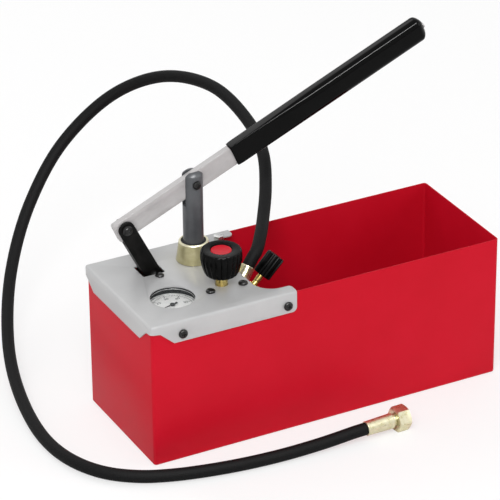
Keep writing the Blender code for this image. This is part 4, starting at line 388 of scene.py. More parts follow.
def grained(tree, shader, where, grain, depth):
    """A fine grain of a size and depth in metres, raised in the shader's normal."""
    texture = add(tree, "TexNoise", {"Vector": where, "Scale": 1 / grain, "Detail": 2.0})
    bump = add(tree, "Bump", {"Height": texture.outputs["Fac"], "Distance": depth, "Strength": 1.0})
    tree.links.new(bump.outputs["Normal"], shader.inputs["Normal"])


def finish(name, dark, pale, rough, patch, grain=0, depth=0, **settings):
    """A whole finish on Object coordinates, patchy and, where it has a grain, grained."""
    made, tree, shader = new_finish(name, **settings)
    here = add(tree, "TexCoord", {}).outputs["Object"]
    patchy(tree, shader, here, dark, pale, rough, patch)
    if grain:
        grained(tree, shader, here, grain, depth)
    return made


# Powder coat: an even satin gloss with the fine orange peel of melted powder, 1.5 mm apart
# and a few hundredths of a millimetre deep, and a shade that hardly drifts along the sheet.
tank_red = finish("red_powder_coat", "BC0A20", "C40E26", rough=(0.36, 0.44),
                  patch=0.12, grain=0.0016, depth=0.00006, specular=0.1)
fitted(trough, "base", tank_red, "tank_red", "tank")


# Cover plate: steel sheet 1.5 mm thick with flanges folded down over three walls of the trough,
# hollowed at its right edge and pierced for the gauge, the pump, the valve, the link and screws.
PLATE_TOP = 0.1814
PLATE_OUT = 0.0018
PLATE_RIGHT = 0.184
PLATE_FLANGE = 0.0264
PLATE_SHEET = 0.0015
PLATE_FOLD = 0.0026


def at(along, across, height):
    """A place measured from the trough's left end and front wall."""
    return Vector((along - TANK_HALF_LENGTH, across - TANK_HALF_WIDTH, height))


def arc(x, y, radius, start, end, steps=14):
    """Points on an arc between two angles in degrees."""
    angles = [math.radians(start + (end - start) * i / steps) for i in range(steps + 1)]
    return [(x + radius * math.cos(a), y + radius * math.sin(a)) for a in angles]


def shelled(piece, place):
    """Out of edit mode, the piece's faces turned outwards and the piece moved to its place."""
    bpy.ops.mesh.select_all(action="SELECT")
    bpy.ops.mesh.normals_make_consistent(inside=False)
    leave()
    if place is not None:
        piece.matrix_world = place
        bpy.ops.object.transform_apply()
    return piece


def slab(name, outline, low, high, place=None):
    """A flat piece of any outline: a disc of as many corners, moved to the outline and extruded."""
    only()
    bpy.ops.mesh.primitive_circle_add(vertices=len(outline), radius=1, fill_type="NGON")
    piece = bpy.context.object
    piece.name = name
    for vertex, (x, y) in zip(piece.data.vertices, outline):
        vertex.co = (x, y, low)
    bpy.ops.object.mode_set(mode="EDIT")
    bpy.ops.mesh.select_mode(type="VERT")
    bpy.ops.mesh.select_all(action="SELECT")
    bpy.ops.mesh.extrude_region_move(TRANSFORM_OT_translate={"value": (0, 0, high - low)})
    return shelled(piece, place)


def turned(name, profile, place=None, sides=96, bored=False):
    """A round piece grown ring by ring up its profile of radius and height, solid or with a bore."""
    only()
    radius, height = profile[0]
    bpy.ops.mesh.primitive_circle_add(
        vertices=sides, radius=radius, location=(0, 0, height), fill_type="NOTHING" if bored else "NGON",
    )
    piece = bpy.context.object
    piece.name = name
    bpy.ops.object.transform_apply()
    bpy.ops.object.mode_set(mode="EDIT")
    bpy.ops.mesh.select_mode(type="VERT")
    bpy.ops.mesh.select_all(action="SELECT")
    rings = profile[1:] + profile[:1] if bored else profile[1:]
    for reach, level in rings:
        bpy.ops.mesh.extrude_region_move(TRANSFORM_OT_translate={"value": (0, 0, level - height)})
        bpy.ops.transform.resize(value=(reach / radius, reach / radius, 1), center_override=(0, 0, level))
        radius, height = reach, level
    if bored:
        bpy.ops.mesh.select_all(action="SELECT")
        bpy.ops.mesh.remove_doubles(threshold=0.000002)
    return shelled(piece, place)


def peg(radius, low, high, place=None, sides=64):
    """Plain round stock between two heights, to drill with or to join on."""
    return turned("peg", [(radius, low), (radius, high)], place, sides)


def hole(along, across, radius, sides=96):
    """A cutter down through the plate."""
    drill = peg(radius, -0.01, 0.01, sides=sides)
    drill.matrix_world = Matrix.Translation(at(along, across, PLATE_TOP))
    return drill


def is_fold(edge):
    """Whether an edge of the cover has a face on both sides."""
    return sum(edge.key in face.edge_keys for face in cover.data.polygons) == 2


TANK_WIDTH = 2 * TANK_HALF_WIDTH
front_corner = at(-PLATE_OUT, -PLATE_OUT, PLATE_TOP)
rear_corner = at(-PLATE_OUT, TANK_WIDTH + PLATE_OUT, PLATE_TOP)
cover = block("cover_sheet", at(-PLATE_OUT, -PLATE_OUT, PLATE_TOP - PLATE_FLANGE),
              at(PLATE_RIGHT, TANK_WIDTH + PLATE_OUT, PLATE_TOP))
pick(cover, "polygons", lambda face: face.normal.z < -0.5 or face.normal.x > 0.5)
bpy.ops.mesh.delete(type="ONLY_FACE")
leave()
pick(cover, "edges", is_fold)
bpy.ops.mesh.bevel(offset=PLATE_FOLD, segments=5, affect="EDGES")
leave()
applied(cover, "SOLIDIFY", thickness=PLATE_SHEET, offset=-1, use_even_offset=True)

# The hollow at the right edge, the link's slot, and holes for the gauge, the valve and the pump.
hollow = [(0.19, 0.0088)]
hollow += arc(0.179, 0.0088, 0.005, 0, 90)
hollow += arc(0.172, 0.0388, 0.025, 270, 180)
hollow += arc(0.165, 0.138, 0.018, 180, 90)
hollow += arc(0.179, 0.161, 0.005, 270, 360)
hollow += [(0.19, 0.161)]
corner = Matrix.Translation(at(0, 0, PLATE_TOP))
cut(cover, slab("hollow_cutter", hollow, -0.008, 0.008, corner))
slot = []
for x, y, turn in ((0.0708, 0.1367, 0), (0.0468, 0.1367, 90), (0.0468, 0.1133, 180), (0.0708, 0.1133, 270)):
    slot += arc(x, y, 0.002, turn, turn + 90, 4)
cut(cover, slab("slot_cutter", slot, -0.008, 0.008, corner))
cut(cover, hole(0.0526, 0.0525, 0.026, 128), hole(0.1163, 0.0543, 0.0075), hole(0.1163, 0.125, 0.0153))

# The flanges are cut off at a slant towards the two left corners and rounded at their right ends.
side = [(-0.004, -0.0089), (-0.004, -0.0304), (0.034, -0.0304), (0.0294, -0.0264), (0.0125, -0.0114)]
far = [(-0.004, -0.0089), (-0.004, -0.0304), (0.0268, -0.0304), (0.022, -0.0264), (0.003, -0.0124)]
right_end = arc(-0.006, -0.0204, 0.006, 0, -90)
right_end += [(-0.006, -0.0304), (0.004, -0.0304), (0.004, -0.0204)]
X, Y, Z = Vector((1, 0, 0)), Vector((0, 1, 0)), Vector((0, 0, 1))


def basis(place, x_axis, y_axis, z_axis):
    """A frame from its place and its three axes."""
    turn = Matrix((x_axis, y_axis, z_axis)).transposed().to_4x4()
    return Matrix.Translation(place) @ turn


cut(cover, slab("front_trim", side, -0.0021, 0.004, basis(front_corner, X, Z, -Y)))
cut(cover, slab("rear_trim", side, -0.004, 0.0021, basis(rear_corner, X, Z, -Y)))
cut(cover, slab("end_trim_near", side, -0.004, 0.0021, basis(front_corner, Y, Z, X)))
cut(cover, slab("end_trim_far", far, -0.0021, 0.004, basis(rear_corner, -Y, Z, -X)))
cut(cover, slab("right_trim", right_end, -0.18, 0.01, basis(at(PLATE_RIGHT, 0, PLATE_TOP), X, Z, -Y)))
softened(cover, 0.00035, 40)

# Light grey powder coat over the sheet, satin and a little cloudy, with a fine peel.
plate_grey = finish("grey_powder_coat", "B2B2B3", "BCBCBC", rough=(0.34, 0.46),
                    patch=0.05, grain=0.0012, depth=0.00005, coat=0.1)
fitted(cover, "base", plate_grey, "plate_grey", "cover_plate")


# Screws: self-tapping heads of blackened steel, four with a cross recess in the flanges and two
# through the plate into the block. Two plain round-headed ones hold the link's bracket.
SCREW_TURN = math.radians(28)
head = [(0.0001, 0.0034), (0.002, 0.00332), (0.0035, 0.00305), (0.0046, 0.00255), (0.0053, 0.00175),
        (0.0055, 0.0009), (0.0055, 0), (0.0024, 0), (0.0024, -0.0095), (0.0019, -0.01)]
pattern = turned("screw_pattern", head, sides=48)
for long_x, long_y in ((0.0056, 0.0012), (0.0012, 0.0056)):
    cutter = block("recess_cutter", (-long_x / 2, -long_y / 2, 0.0016), (long_x / 2, long_y / 2, 0.006))
    softened(cutter, 0.0003)
    cut(pattern, cutter)
softened(pattern, 0.00015, 40)

# Black oxide: a dark sheen with brown-grey wear on the rim, rough at the size of the blasting grit.
black_steel = finish("blackened_steel", "080809", "191817", rough=(0.22, 0.4),
                     patch=0.004, grain=0.0005, depth=0.00002, coat=0.1, specular=0.3)


def copied(pattern, name):
    """A copy of a piece with its own mesh."""
    piece = pattern.copy()
    piece.data = pattern.data.copy()
    piece.name = name
    bpy.context.scene.collection.objects.link(piece)
    return piece


for side, across, outward in (("front", -0.0021, -Y), ("rear", 0.1721, Y)):
    for end, along in (("left", 0.0385), ("right", 0.1725)):
        fitted(copied(pattern, f"flange_screw_{side}_{end}"), "base", black_steel, "black_steel",
               f"cover_screw_{side}_{end}", place=aim(at(along, across, 0.1645), outward))
for end, along in (("left", 0.0963), ("right", 0.138)):
    place = aim(at(along, 0.0428, PLATE_TOP + CLEARANCE), Z) @ Matrix.Rotation(SCREW_TURN, 4, "Z")
    fitted(copied(pattern, f"plate_screw_{end}"), "base", black_steel, "black_steel",
           f"block_screw_{end}", place=place)
bpy.data.objects.remove(pattern)


def lathed(name, profile, place, *fit, ease=0.0002, angle=40, steps=2, sides=96, bored=False):
    """A turned piece at its place with its edges eased, fitted by the words that follow the place."""
    piece = turned(name, profile, place, sides, bored)
    if ease:
        softened(piece, ease, angle, steps)
    return fitted(piece, *fit)


dome = [(0.0001, 0.0034), (0.0014, 0.0033), (0.0027, 0.0029), (0.0038, 0.0023), (0.0047, 0.0014),
        (0.0052, 0.0005), (0.0052, 0), (0.0024, 0), (0.0024, -0.005)]
for end, across in (("front", 0.1055), ("rear", 0.1445)):
    lathed(f"round_screw_{end}", dome, aim(at(0.0625, across, PLATE_TOP + CLEARANCE), Z),
           "base", black_steel, "bright_steel", f"bracket_screw_{end}", angle=50, sides=48)


# Gland: a flared nut turned from brass bar and plated, which guides the rod and holds its seal.
# A black rubber wiper sits in its rim, partly the real seal and partly painted shade for the dark ring
# round the rod.
PUMP = Vector((-0.11095, 0.04, 0))
at_pump = Matrix.Translation(PUMP)

# Olive zinc: a drab yellow-green metal, soft in its shine, with turning marks round its axis.
gland_zinc, tree, shader = new_finish("olive_zinc_plate", metallic=0.55)
here = add(tree, "TexCoord", {}).outputs["Object"]
patchy(tree, shader, here, "ACA47A", "C4BD95", (0.3, 0.42), 0.012)
rings = add(tree, "TexWave", {"Vector": here, "Scale": 600.0, "Distortion": 0.4}, bands_direction="Z")
bump = add(tree, "Bump", {"Height": rings.outputs["Fac"], "Distance": 0.00003, "Strength": 0.6})
tree.links.new(bump.outputs["Normal"], shader.inputs["Normal"])
skirt = [(0.0148, 0.2031), (0.0148, 0.206), (0.0163, 0.206), (0.0175, 0.2048), (0.0183, 0.199),
         (0.0193, 0.191), (0.021, 0.1817), (0.015, 0.1817), (0.015, 0.17), (0.0123, 0.17),
         (0.0123, 0.2031)]
lathed("gland_nut", skirt, at_pump, "base", gland_zinc, "gland_zinc", "gland",
       ease=0.0004, angle=35, steps=3, bored=True)

# The rim is the same nut in a paler cream copy of its zinc, a painted highlight where its top faces the
# light.
highlight_rim_zinc = finish("painted_highlight_rim_zinc", "CFC9A8", "DDD8BC", rough=(0.3, 0.4),
                  patch=0.01, grain=0.0006, depth=0.00002, metallic=0.5)
rim = [(0.01481, 0.20605), (0.01481, 0.2042), (0.01755, 0.2042), (0.01758, 0.205), (0.0164, 0.20612),
       (0.0156, 0.20625)]
lathed("gland_rim", rim, at_pump, "base", highlight_rim_zinc, "gland_zinc", angle=35, bored=True)

# Rubber seals: matt, slightly grey with the mould's skin.
seal_rubber = finish("moulded_nitrile", "141416", "1E1E20", rough=(0.6, 0.8),
                     patch=0.003, grain=0.0004, depth=0.00002, specular=0.3)
# The wiper's black ring round the rod is partly painted shade, where the gland's mouth lies in shadow.
wiper = [(0.0123, 0.20325), (0.0145, 0.20325), (0.0145, 0.2055), (0.0136, 0.20605), (0.0125, 0.20605)]
lathed("wiper_ring", wiper, at_pump, "base", seal_rubber, "seal_rubber", "rod_wiper",
       angle=35, bored=True)


# Plunger rod: ground steel bar, dark with oil, forked at its top for the lever, with a shouldered
# pin through the fork. Its foot carries the piston inside the barrel.
ROD_RADIUS = 0.012
PIN_HEIGHT = 0.281
PIN_BORE = 0.0038
SPOT_REACH = 0.016
SPOT_FRONT = 0.0048
SPOT_BACK = 0.0060735

rod_profile = [(0.005, 0.108), (0.005, 0.134), (ROD_RADIUS, 0.134), (ROD_RADIUS, 0.2906),
               (0.0116, 0.2917), (0.0084, 0.2944), (0.0074, 0.295)]
rod = turned("forked_rod", rod_profile, sides=128)
cut(rod, block("fork_cutter", (-0.016, -0.0043, 0.253), (0.016, 0.0043, 0.3)))
front_face = math.sqrt(ROD_RADIUS ** 2 - SPOT_FRONT ** 2) - CLEARANCE
back_face = math.sqrt(ROD_RADIUS ** 2 - SPOT_BACK ** 2) - CLEARANCE
through = aim((0, 0, PIN_HEIGHT), -Y)
cut(rod, peg(0.0056, front_face, SPOT_REACH, through), peg(SPOT_BACK, -SPOT_REACH, -back_face, through),
    peg(PIN_BORE, -SPOT_REACH, SPOT_REACH, through))
softened(rod, 0.0004, 40, 3)

# Ground steel: dark grey with oil on it, drawn lines up the rod and a long soft highlight.
rod_steel, tree, shader = new_finish("ground_steel_oiled", metallic=0.15, specular=0.4)
here = add(tree, "TexCoord", {}).outputs["Object"]
patchy(tree, shader, here, "48494C", "56585B", (0.3, 0.42), 0.02)
long_lines = add(tree, "Mapping", {"Vector": here, "Scale": (1.0, 1.0, 0.03)})
grained(tree, shader, long_lines.outputs[0], 0.0006, 0.00003)
fitted(rod, "plunger", rod_steel, "rod_steel", "plunger_rod", place=at_pump)

at_pin = aim(PUMP + PIN_HEIGHT * Z, -Y)
pin_head = front_face + CLEARANCE
pin_profile = [(0.0035, -back_face - 0.0045), (0.0035, pin_head), (0.005, pin_head),
               (0.005, pin_head + 0.0013), (0.0047, pin_head + 0.0021), (0.0039, pin_head + 0.0027),
               (0.0028, pin_head + 0.003), (0.0002, pin_head + 0.003)]
pin = turned("fork_pin", pin_profile, at_pin, 64)
socket = arc(0, 0, 0.0023, 30, 330, 5)
cut(pin, slab("pin_socket", socket, pin_head + 0.0012, pin_head + 0.005, at_pin))
softened(pin, 0.0002, 50)
fitted(pin, "plunger", black_steel, "black_steel", "clevis_pin")


def hex_nut(name, flats, low, high, bore, place=None, sides=64):
    """A hexagon nut between two heights, its corners turned down to a cone at both ends, and bored."""
    corner = flats / math.sqrt(3)
    piece = slab(name, arc(0, 0, corner, 0, 300, 5), low, high)
    face, reach, thin = flats / 2 * 0.97, corner * 1.02, (corner - flats / 2) * 0.6
    cone = [(face, low - 0.00001), (reach, low + thin), (reach, high - thin), (face, high + 0.00001)]
    combined(piece, "INTERSECT", turned("nut_cone", cone, sides=sides))
    if bore:
        cut(piece, peg(bore, low - 0.01, high + 0.01, sides=sides))
    softened(piece, 0.00025, 35)
    return settled(piece, place)


under = -back_face - CLEARANCE
nut = hex_nut("fork_pin_nut", 0.01, under - 0.004, under, PIN_BORE, at_pin)
fitted(nut, "plunger", black_steel, "black_steel", "clevis_nut")


# Lever: a flat steel bar painted grey, drilled for the fork's pin and the link's bolt. Its far end
# runs into the grip.
LEVER_ANGLE = math.radians(23.5)
ALONG_LEVER = Vector((math.cos(LEVER_ANGLE), 0, math.sin(LEVER_ANGLE)))
UP_LEVER = Vector((-math.sin(LEVER_ANGLE), 0, math.cos(LEVER_ANGLE)))
LEVER = basis(PUMP + PIN_HEIGHT * Z, ALONG_LEVER, UP_LEVER, -Y)
LEVER_SPAN = 0.0955

outline = [(0.0558, -0.0125), (0.0558, -0.01), (0.308, -0.01), (0.308, 0.01), (0.0558, 0.01),
           (0.0558, 0.0125)]
outline += arc(-0.105, 0.0095, 0.003, 90, 180, 8)
outline += arc(-0.105, -0.0095, 0.003, 180, 270, 8)
bar = slab("lever_flat", outline, -0.004, 0.004)
at_bolt_end = Matrix.Translation((-LEVER_SPAN, 0, 0))
cut(bar, peg(PIN_BORE, -0.01, 0.01), peg(0.0061, -0.01, 0.01, at_bolt_end))
softened(bar, 0.0008, 40, 3)

# Grey paint on bar steel: satin and slightly uneven along the bar, a little darker where handled.
lever_grey = finish("grey_paint_on_bar", "A8A5A5", "B8B5B5", rough=(0.36, 0.5),
                    patch=0.03, grain=0.0011, depth=0.00006, coat=0.1)
fitted(bar, "lever", lever_grey, "lever_grey", "lever_bar", place=LEVER)


# Grip: a thick vinyl sleeve dipped on to the bar, glossy black, with a thin lip at its mouth and
# a rounded end. The bar's tip just shows at the end.
GRIP_START = 0.0561
GRIP_END = 0.3305
GRIP_DOME = 0.009
GRIP_HALF_HEIGHT = 0.0155
GRIP_HALF_WIDTH = 0.0105
GRIP_ROUND = 0.009
MOUTH_HALF_HEIGHT = 0.014
MOUTH_HALF_WIDTH = 0.0065
MOUTH_ROUND = 0.0012
SWELL_LENGTH = 0.14

grip = block("grip_sleeve", (GRIP_START, -GRIP_HALF_HEIGHT, -GRIP_HALF_WIDTH),
             (GRIP_END, GRIP_HALF_HEIGHT, GRIP_HALF_WIDTH))
pick(grip, "edges", lambda edge: abs(run(edge).x) > 0.1)
bpy.ops.mesh.bevel(offset=GRIP_ROUND, segments=10, affect="EDGES")
leave()
rings = [GRIP_START + 0.0118 * step for step in range(1, 12)]
rings += [GRIP_END - GRIP_DOME * (1 - math.sin(math.radians(11.25 * step))) for step in range(8)]
for along in rings:
    opened(grip, "SELECT")
    bpy.ops.mesh.bisect(plane_co=(along, 0, 0), plane_no=(1, 0, 0))
    leave()
# Towards its mouth the sleeve goes flat and square, as the bar inside it is.
for vertex in grip.data.vertices:
    swell = min(1, (vertex.co.x - GRIP_START) / SWELL_LENGTH)
    swell = swell * swell * (3 - 2 * swell)
    edge = MOUTH_ROUND + (GRIP_ROUND - MOUTH_ROUND) * swell
    for axis, half, mouth in ((1, GRIP_HALF_HEIGHT, MOUTH_HALF_HEIGHT),
                              (2, GRIP_HALF_WIDTH, MOUTH_HALF_WIDTH)):
        out, inner = abs(vertex.co[axis]), half - GRIP_ROUND
        flat = mouth + (half - mouth) * swell - edge
        place = flat + edge * (out - inner) / GRIP_ROUND if out > inner else flat * out / inner
        if vertex.co.x < GRIP_START + SWELL_LENGTH:
            vertex.co[axis] = math.copysign(place, vertex.co[axis])
        elif vertex.co.x > GRIP_END - GRIP_DOME:
            rise = min(1, (vertex.co.x - GRIP_END) / GRIP_DOME + 1)
            vertex.co[axis] *= 1 - 0.8 * GRIP_DOME / half * (1 - math.sqrt(1 - rise * rise))
pick(grip, "polygons", lambda face: face.normal.x < -0.9)
bpy.ops.mesh.bevel(offset=0.0006, segments=3, affect="EDGES")
leave()
cut(grip, block("grip_pocket", (GRIP_START - 0.01, -0.0103, -0.0043), (0.3083, 0.0103, 0.0043)))
softened(grip, 0.0003, 50)

# Vinyl: black with a wet gloss, faint dips and runs a few millimetres long from the dipping.
grip_vinyl = finish("dipped_black_vinyl", "020202", "050505", rough=(0.05, 0.08),
                    patch=0.02, grain=0.008, depth=0.00003, specular=0.08)
fitted(grip, "lever", grip_vinyl, "grip_rubber", "lever_grip", place=LEVER)

nub = [(0.0036, -0.0004), (0.0036, 0.0006), (0.003, 0.0012), (0.0016, 0.0015), (0.0002, 0.0016)]
at_tip = LEVER @ Matrix.Translation((GRIP_END - 0.0002, 0, 0)) @ Matrix.Rotation(math.pi / 2, 4, "Y")
lathed("grip_tip_nub", nub, at_tip, "lever", lever_grey, "lever_grey", ease=0, sides=48)


# Link: a channel pressed from black steel strip, its closed side to the left. It joins the lever's
# end to a bracket under the plate, and swings on a pin there between two spacers.
FOOT = Vector((-0.16225, 0.04, 0.17))
BOLT = PUMP + PIN_HEIGHT * Z - LEVER_SPAN * ALONG_LEVER
LINK_LENGTH = (BOLT - FOOT).length
LINK_UP = (BOLT - FOOT).normalized()
LINK_BORE = 0.0043

at_foot = basis(FOOT, LINK_UP, Y.cross(LINK_UP), Y)
strip_outline = arc(0, 0, 0.01, 90, 270, 24) + arc(LINK_LENGTH, 0, 0.01, -90, 90, 24)
strip = slab("link_channel", strip_outline, -0.007, 0.007)
inside = [(-0.014, -0.0075), (LINK_LENGTH - 0.0195, -0.0075), (LINK_LENGTH - 0.0195, -0.014),
          (LINK_LENGTH + 0.014, -0.014), (LINK_LENGTH + 0.014, 0.014), (-0.014, 0.014)]
cut(strip, slab("channel_inside", inside, -0.0045, 0.0045))
for reach in (0, LINK_LENGTH):
    cut(strip, peg(LINK_BORE, -0.012, 0.012, Matrix.Translation((reach, 0, 0))))
softened(strip, 0.0006, 40, 3)

# Black paint over steel strip: nearly black, half gloss, thin and browner on the worn edges.
black_paint = finish("black_painted_strip", "060606", "141312", rough=(0.28, 0.45),
                     patch=0.01, grain=0.0012, depth=0.00007, specular=0.12)
fitted(strip, "link", black_paint, "black_steel", "link", place=at_foot)

at_bolt = aim(BOLT, -Y)
bolt = [(0.004, -0.0123), (0.004, 0.0073), (0.0062, 0.0073), (0.0062, 0.009), (0.0059, 0.0099),
        (0.005, 0.0105), (0.0046, 0.01065), (0.0043, 0.0101), (0.0039, 0.0101), (0.0034, 0.0106),
        (0.0018, 0.01079), (0.0002, 0.0108)]
lathed("link_button_bolt", bolt, at_bolt, "link", black_steel, "black_steel", "link_top_bolt",
       ease=0.00015, angle=50, sides=64)
nut = hex_nut("link_nut", 0.013, -0.0123, -0.0073, LINK_BORE, at_bolt)
fitted(nut, "link", black_steel, "black_steel", "link_top_nut")

# Bright zinc: bluish white metal with a soft shine and faint clouds from the plating bath.
bright_steel = finish("bright_zinc_plate", "B9BABC", "D2D2CF", rough=(0.24, 0.36),
                      patch=0.006, grain=0.0008, depth=0.000006, metallic=1.0)

pin_across = aim(FOOT, -Y)
pin = [(0.006, -0.018), (0.006, -0.0163), (0.004, -0.016), (0.004, 0.016), (0.006, 0.0163),
       (0.006, 0.018)]
lathed("foot_pin", pin, pin_across, "base", bright_steel, "bright_steel", "link_foot_pin",
       ease=0.0003, angle=50, sides=64)
for side, low, high in (("front", 0.0073, 0.0134), ("rear", -0.0134, -0.0073)):
    ring = [(LINK_BORE, low), (0.007, low), (0.007, high), (LINK_BORE, high)]
    lathed(f"foot_spacer_{side}", ring, pin_across, "base", bright_steel, "bright_steel",
           f"link_spacer_{side}", ease=0.0004, angle=50, sides=64, bored=True)


# Pressure gauge: a small bottom-entry gauge lying on its back under the plate's round hole, with a
# painted steel case, a rolled bezel, a white dial behind glass and a black pointer.
GAUGE = Vector((-0.17465, -0.0325, 0))
LENS_TOP = 0.1777
DIAL_TOP = 0.1706
DIAL_BACK = 0.1698
DIAL_RADIUS = 0.0292
SCALE_RADIUS = 0.0246
NUMBER_RADIUS = 0.0168
SCALE_MARKS = 60
SCALE_START = 225
SCALE_SWEEP = 270
INK_DEPTH = 0.00008
at_gauge = Matrix.Translation(GAUGE)

# The case and bezel are black paint, partly their own finish and partly painted shade for the dark band
# inside the plate's hole.
pan = [(0.031, 0.1759), (0.0295, 0.1759), (0.0295, 0.1695), (0.027, 0.1695), (0.027, 0.142),
       (0.0002, 0.142), (0.0002, 0.14), (0.03, 0.14), (0.031, 0.141)]
lathed("gauge_pan", pan, at_gauge, "base", black_paint, "black_steel", "gauge_case",
       ease=0.0003, bored=True)
bezel = [(0.028, 0.178), (0.028, 0.1788), (0.0286, 0.1792), (0.0318, 0.1792), (0.0325, 0.1785),
         (0.0325, 0.1662), (0.0313, 0.1662), (0.0313, 0.178)]
lathed("gauge_rim", bezel, at_gauge, "base", black_paint, "black_steel", "gauge_bezel",
       sides=128, bored=True)

# A thin bright ring holds the glass, and a second one frames the dial below the black band, which is partly
# painted shade.
for name, low, inner, outer in (("lens_ring", 0.17772, 0.0254, 0.0259),
                                ("dial_frame", 0.17065, 0.0262, 0.0272)):
    ring = [(inner, low), (inner + 0.0002, low + 0.0005), (outer - 0.0002, low + 0.0005), (outer, low)]
    lathed(name, ring, at_gauge, "base", bright_steel, "bright_steel",
           ease=0.00008, sides=128, bored=True)

# Enamelled tin: flat white, with a faint grain.
dial_white = finish("white_dial_enamel", "F6F6F4", "FDFDFB", rough=(0.4, 0.5),
                    patch=0.006, grain=0.0005, depth=0.00001)
dial = [(0.0017, DIAL_BACK), (DIAL_RADIUS, DIAL_BACK), (DIAL_RADIUS, DIAL_TOP), (0.0017, DIAL_TOP)]
lathed("dial_disc", dial, at_gauge, "base", dial_white, "dial_white", "gauge_dial",
       ease=0, bored=True)

# Printing ink: flat black, with a slightly greyer middle where it is thin.
dial_ink = finish("black_dial_ink", "0E0E10", "1C1C1E", rough=(0.5, 0.6), patch=0.002)
strokes = []
for i in range(SCALE_MARKS + 1):
    turn = math.radians(SCALE_START - SCALE_SWEEP * i / SCALE_MARKS)
    long_mark, middle_mark = i % 10 == 0, i % 5 == 0
    reach = 0.0042 if long_mark else 0.0032 if middle_mark else 0.0022
    half = 0.00035 if long_mark else 0.000175
    mark = block(f"mark_{i}", (SCALE_RADIUS - reach, -half, DIAL_TOP),
                 (SCALE_RADIUS, half, DIAL_TOP + INK_DEPTH))
    mark.matrix_world = at_gauge @ Matrix.Rotation(turn, 4, "Z")
    strokes.append(mark)
for i in range(7):
    turn = math.radians(SCALE_START - SCALE_SWEEP * i / 6)
    bpy.ops.object.text_add(location=(0, 0, 0))
    number = bpy.context.object
    number.data.body = str(i * 10)
    number.data.size = 0.0058
    number.data.align_x = "CENTER"
    number.data.align_y = "CENTER"
    number.data.extrude = INK_DEPTH / 2
    number.data.resolution_u = 4
    only(number)
    bpy.ops.object.convert(target="MESH")
    spot = NUMBER_RADIUS * math.cos(turn), NUMBER_RADIUS * math.sin(turn), DIAL_TOP + INK_DEPTH / 2
    bpy.context.object.matrix_world = Matrix.Translation(GAUGE + Vector(spot))
    strokes.append(bpy.context.object)
only(strokes[0])
for stroke in strokes:
    stroke.select_set(True)
bpy.ops.object.join()
scale = bpy.context.object
scale.name = "dial_scale"
fitted(scale, "base", dial_ink, "dial_white")

heading = Vector((math.cos(math.radians(195)), math.sin(math.radians(195)), 0))
at_needle = basis(GAUGE, heading, Z.cross(heading), Z)
hand = [(0.0225, 0), (0.006, 0.0006), (0, 0.0009), (-0.004, 0.0013), (-0.007, 0.0013),
        (-0.007, -0.0013), (-0.004, -0.0013), (0, -0.0009), (0.006, -0.0006)]
pointer = slab("gauge_pointer", hand, 0.1718, 0.1724, at_needle)
softened(pointer, 0.0001, 40, 1)
hub = [(0.0014, 0.168), (0.0014, 0.171), (0.0028, 0.171), (0.003, 0.172), (0.0029, 0.1728),
       (0.002, 0.1732), (0.0002, 0.1733)]
combined(pointer, "UNION", turned("pointer_hub", hub, at_gauge, 48))
fitted(pointer, "needle", dial_ink, "black_plastic", "gauge_needle")

# Float glass: clear, hardly tinted, with a smooth gloss. It is clear by alpha, so it exports.
lens_glass = finish("clear_gauge_glass", "9AA2A4", "A8AEB0", rough=(0.03, 0.05), patch=0.02,
                    specular=0.25)
lens_glass.node_tree.nodes["Principled BSDF"].inputs["Alpha"].default_value = 0.05
lens = [(0.0307, 0.1762), (0.0307, 0.1775), (0.0305, LENS_TOP), (0.0002, LENS_TOP)]
lathed("gauge_glass", lens, at_gauge, "base", lens_glass, "clear_lens", "gauge_lens", ease=0)


# Shut-off valve: a plated bonnet screwed into the block, a spindle, and a scalloped handwheel of
# moulded plastic with a red cap snapped into its top.
VALVE = Vector((-0.11095, -0.0307, 0))
WHEEL_FOOT = 0.1951
WHEEL_RIBS = 20
RIB_START = 0.016
RIB_DEPTH = 0.0015
at_valve = Matrix.Translation(VALVE)

# Yellow zinc: a pale gold metal with a bright shine and a greenish drift, from chromate.
golden_zinc = finish("yellow_zinc_plate", "C2A85A", "DCCB88", rough=(0.2, 0.34),
                     patch=0.008, grain=0.0009, depth=0.000008, metallic=0.85)

bonnet = [(0.0038, 0.191), (0.0059, 0.191), (0.0069, 0.1902), (0.0071, 0.1838), (0.0071, 0.1654),
          (0.0038, 0.1654)]
lathed("valve_bonnet", bonnet, at_valve, "base", golden_zinc, "golden_zinc", "shutoff_bonnet",
       sides=64, bored=True)
spindle = [(0.0002, 0.157), (0.0035, 0.1605), (0.0035, 0.2128)]
lathed("valve_spindle", spindle, at_valve, "shutoff_stem", golden_zinc, "golden_zinc",
       "shutoff_spindle", ease=0, sides=48)

wheel_profile = [(0.0002, 0.2131), (0.0038, 0.2131), (0.0038, WHEEL_FOOT), (0.0178, WHEEL_FOOT),
                 (0.0193, 0.1964), (0.0204, 0.199), (0.0214, 0.202), (0.023, 0.208), (0.0243, 0.215),
                 (0.0245, 0.219), (0.0243, 0.2215), (0.024, 0.2232), (0.0236, 0.2246),
                 (0.0229, 0.2257), (0.0221, 0.2263), (0.0138, 0.2263), (0.0129, 0.2259),
                 (0.0126, 0.2252), (0.0125, 0.2236), (0.0002, 0.2236)]
wheel = turned("scalloped_wheel", wheel_profile, sides=WHEEL_RIBS * 14)
for vertex in wheel.data.vertices:
    reach = vertex.co.to_2d().length
    if reach > RIB_START:
        lobe = abs(math.cos(math.atan2(vertex.co.y, vertex.co.x) * WHEEL_RIBS / 2)) ** 0.6
        share = min(1, max(0, (0.2264 - vertex.co.z) / 0.003)) * min(1, (vertex.co.z - 0.1948) / 0.0012)
        vertex.co.xy *= 1 - RIB_DEPTH * (1 - lobe) * share / reach
softened(wheel, 0.0002, 60)

# Phenolic moulding: jet black, glossy on the ribs' crowns, with a fine orange peel.
black_moulding = finish("black_moulded_plastic", "020202", "070707", rough=(0.18, 0.3),
                        patch=0.006, grain=0.0014, depth=0.00005, specular=0.08)
fitted(wheel, "shutoff_wheel", black_moulding, "black_plastic", "shutoff_knob", place=at_valve)

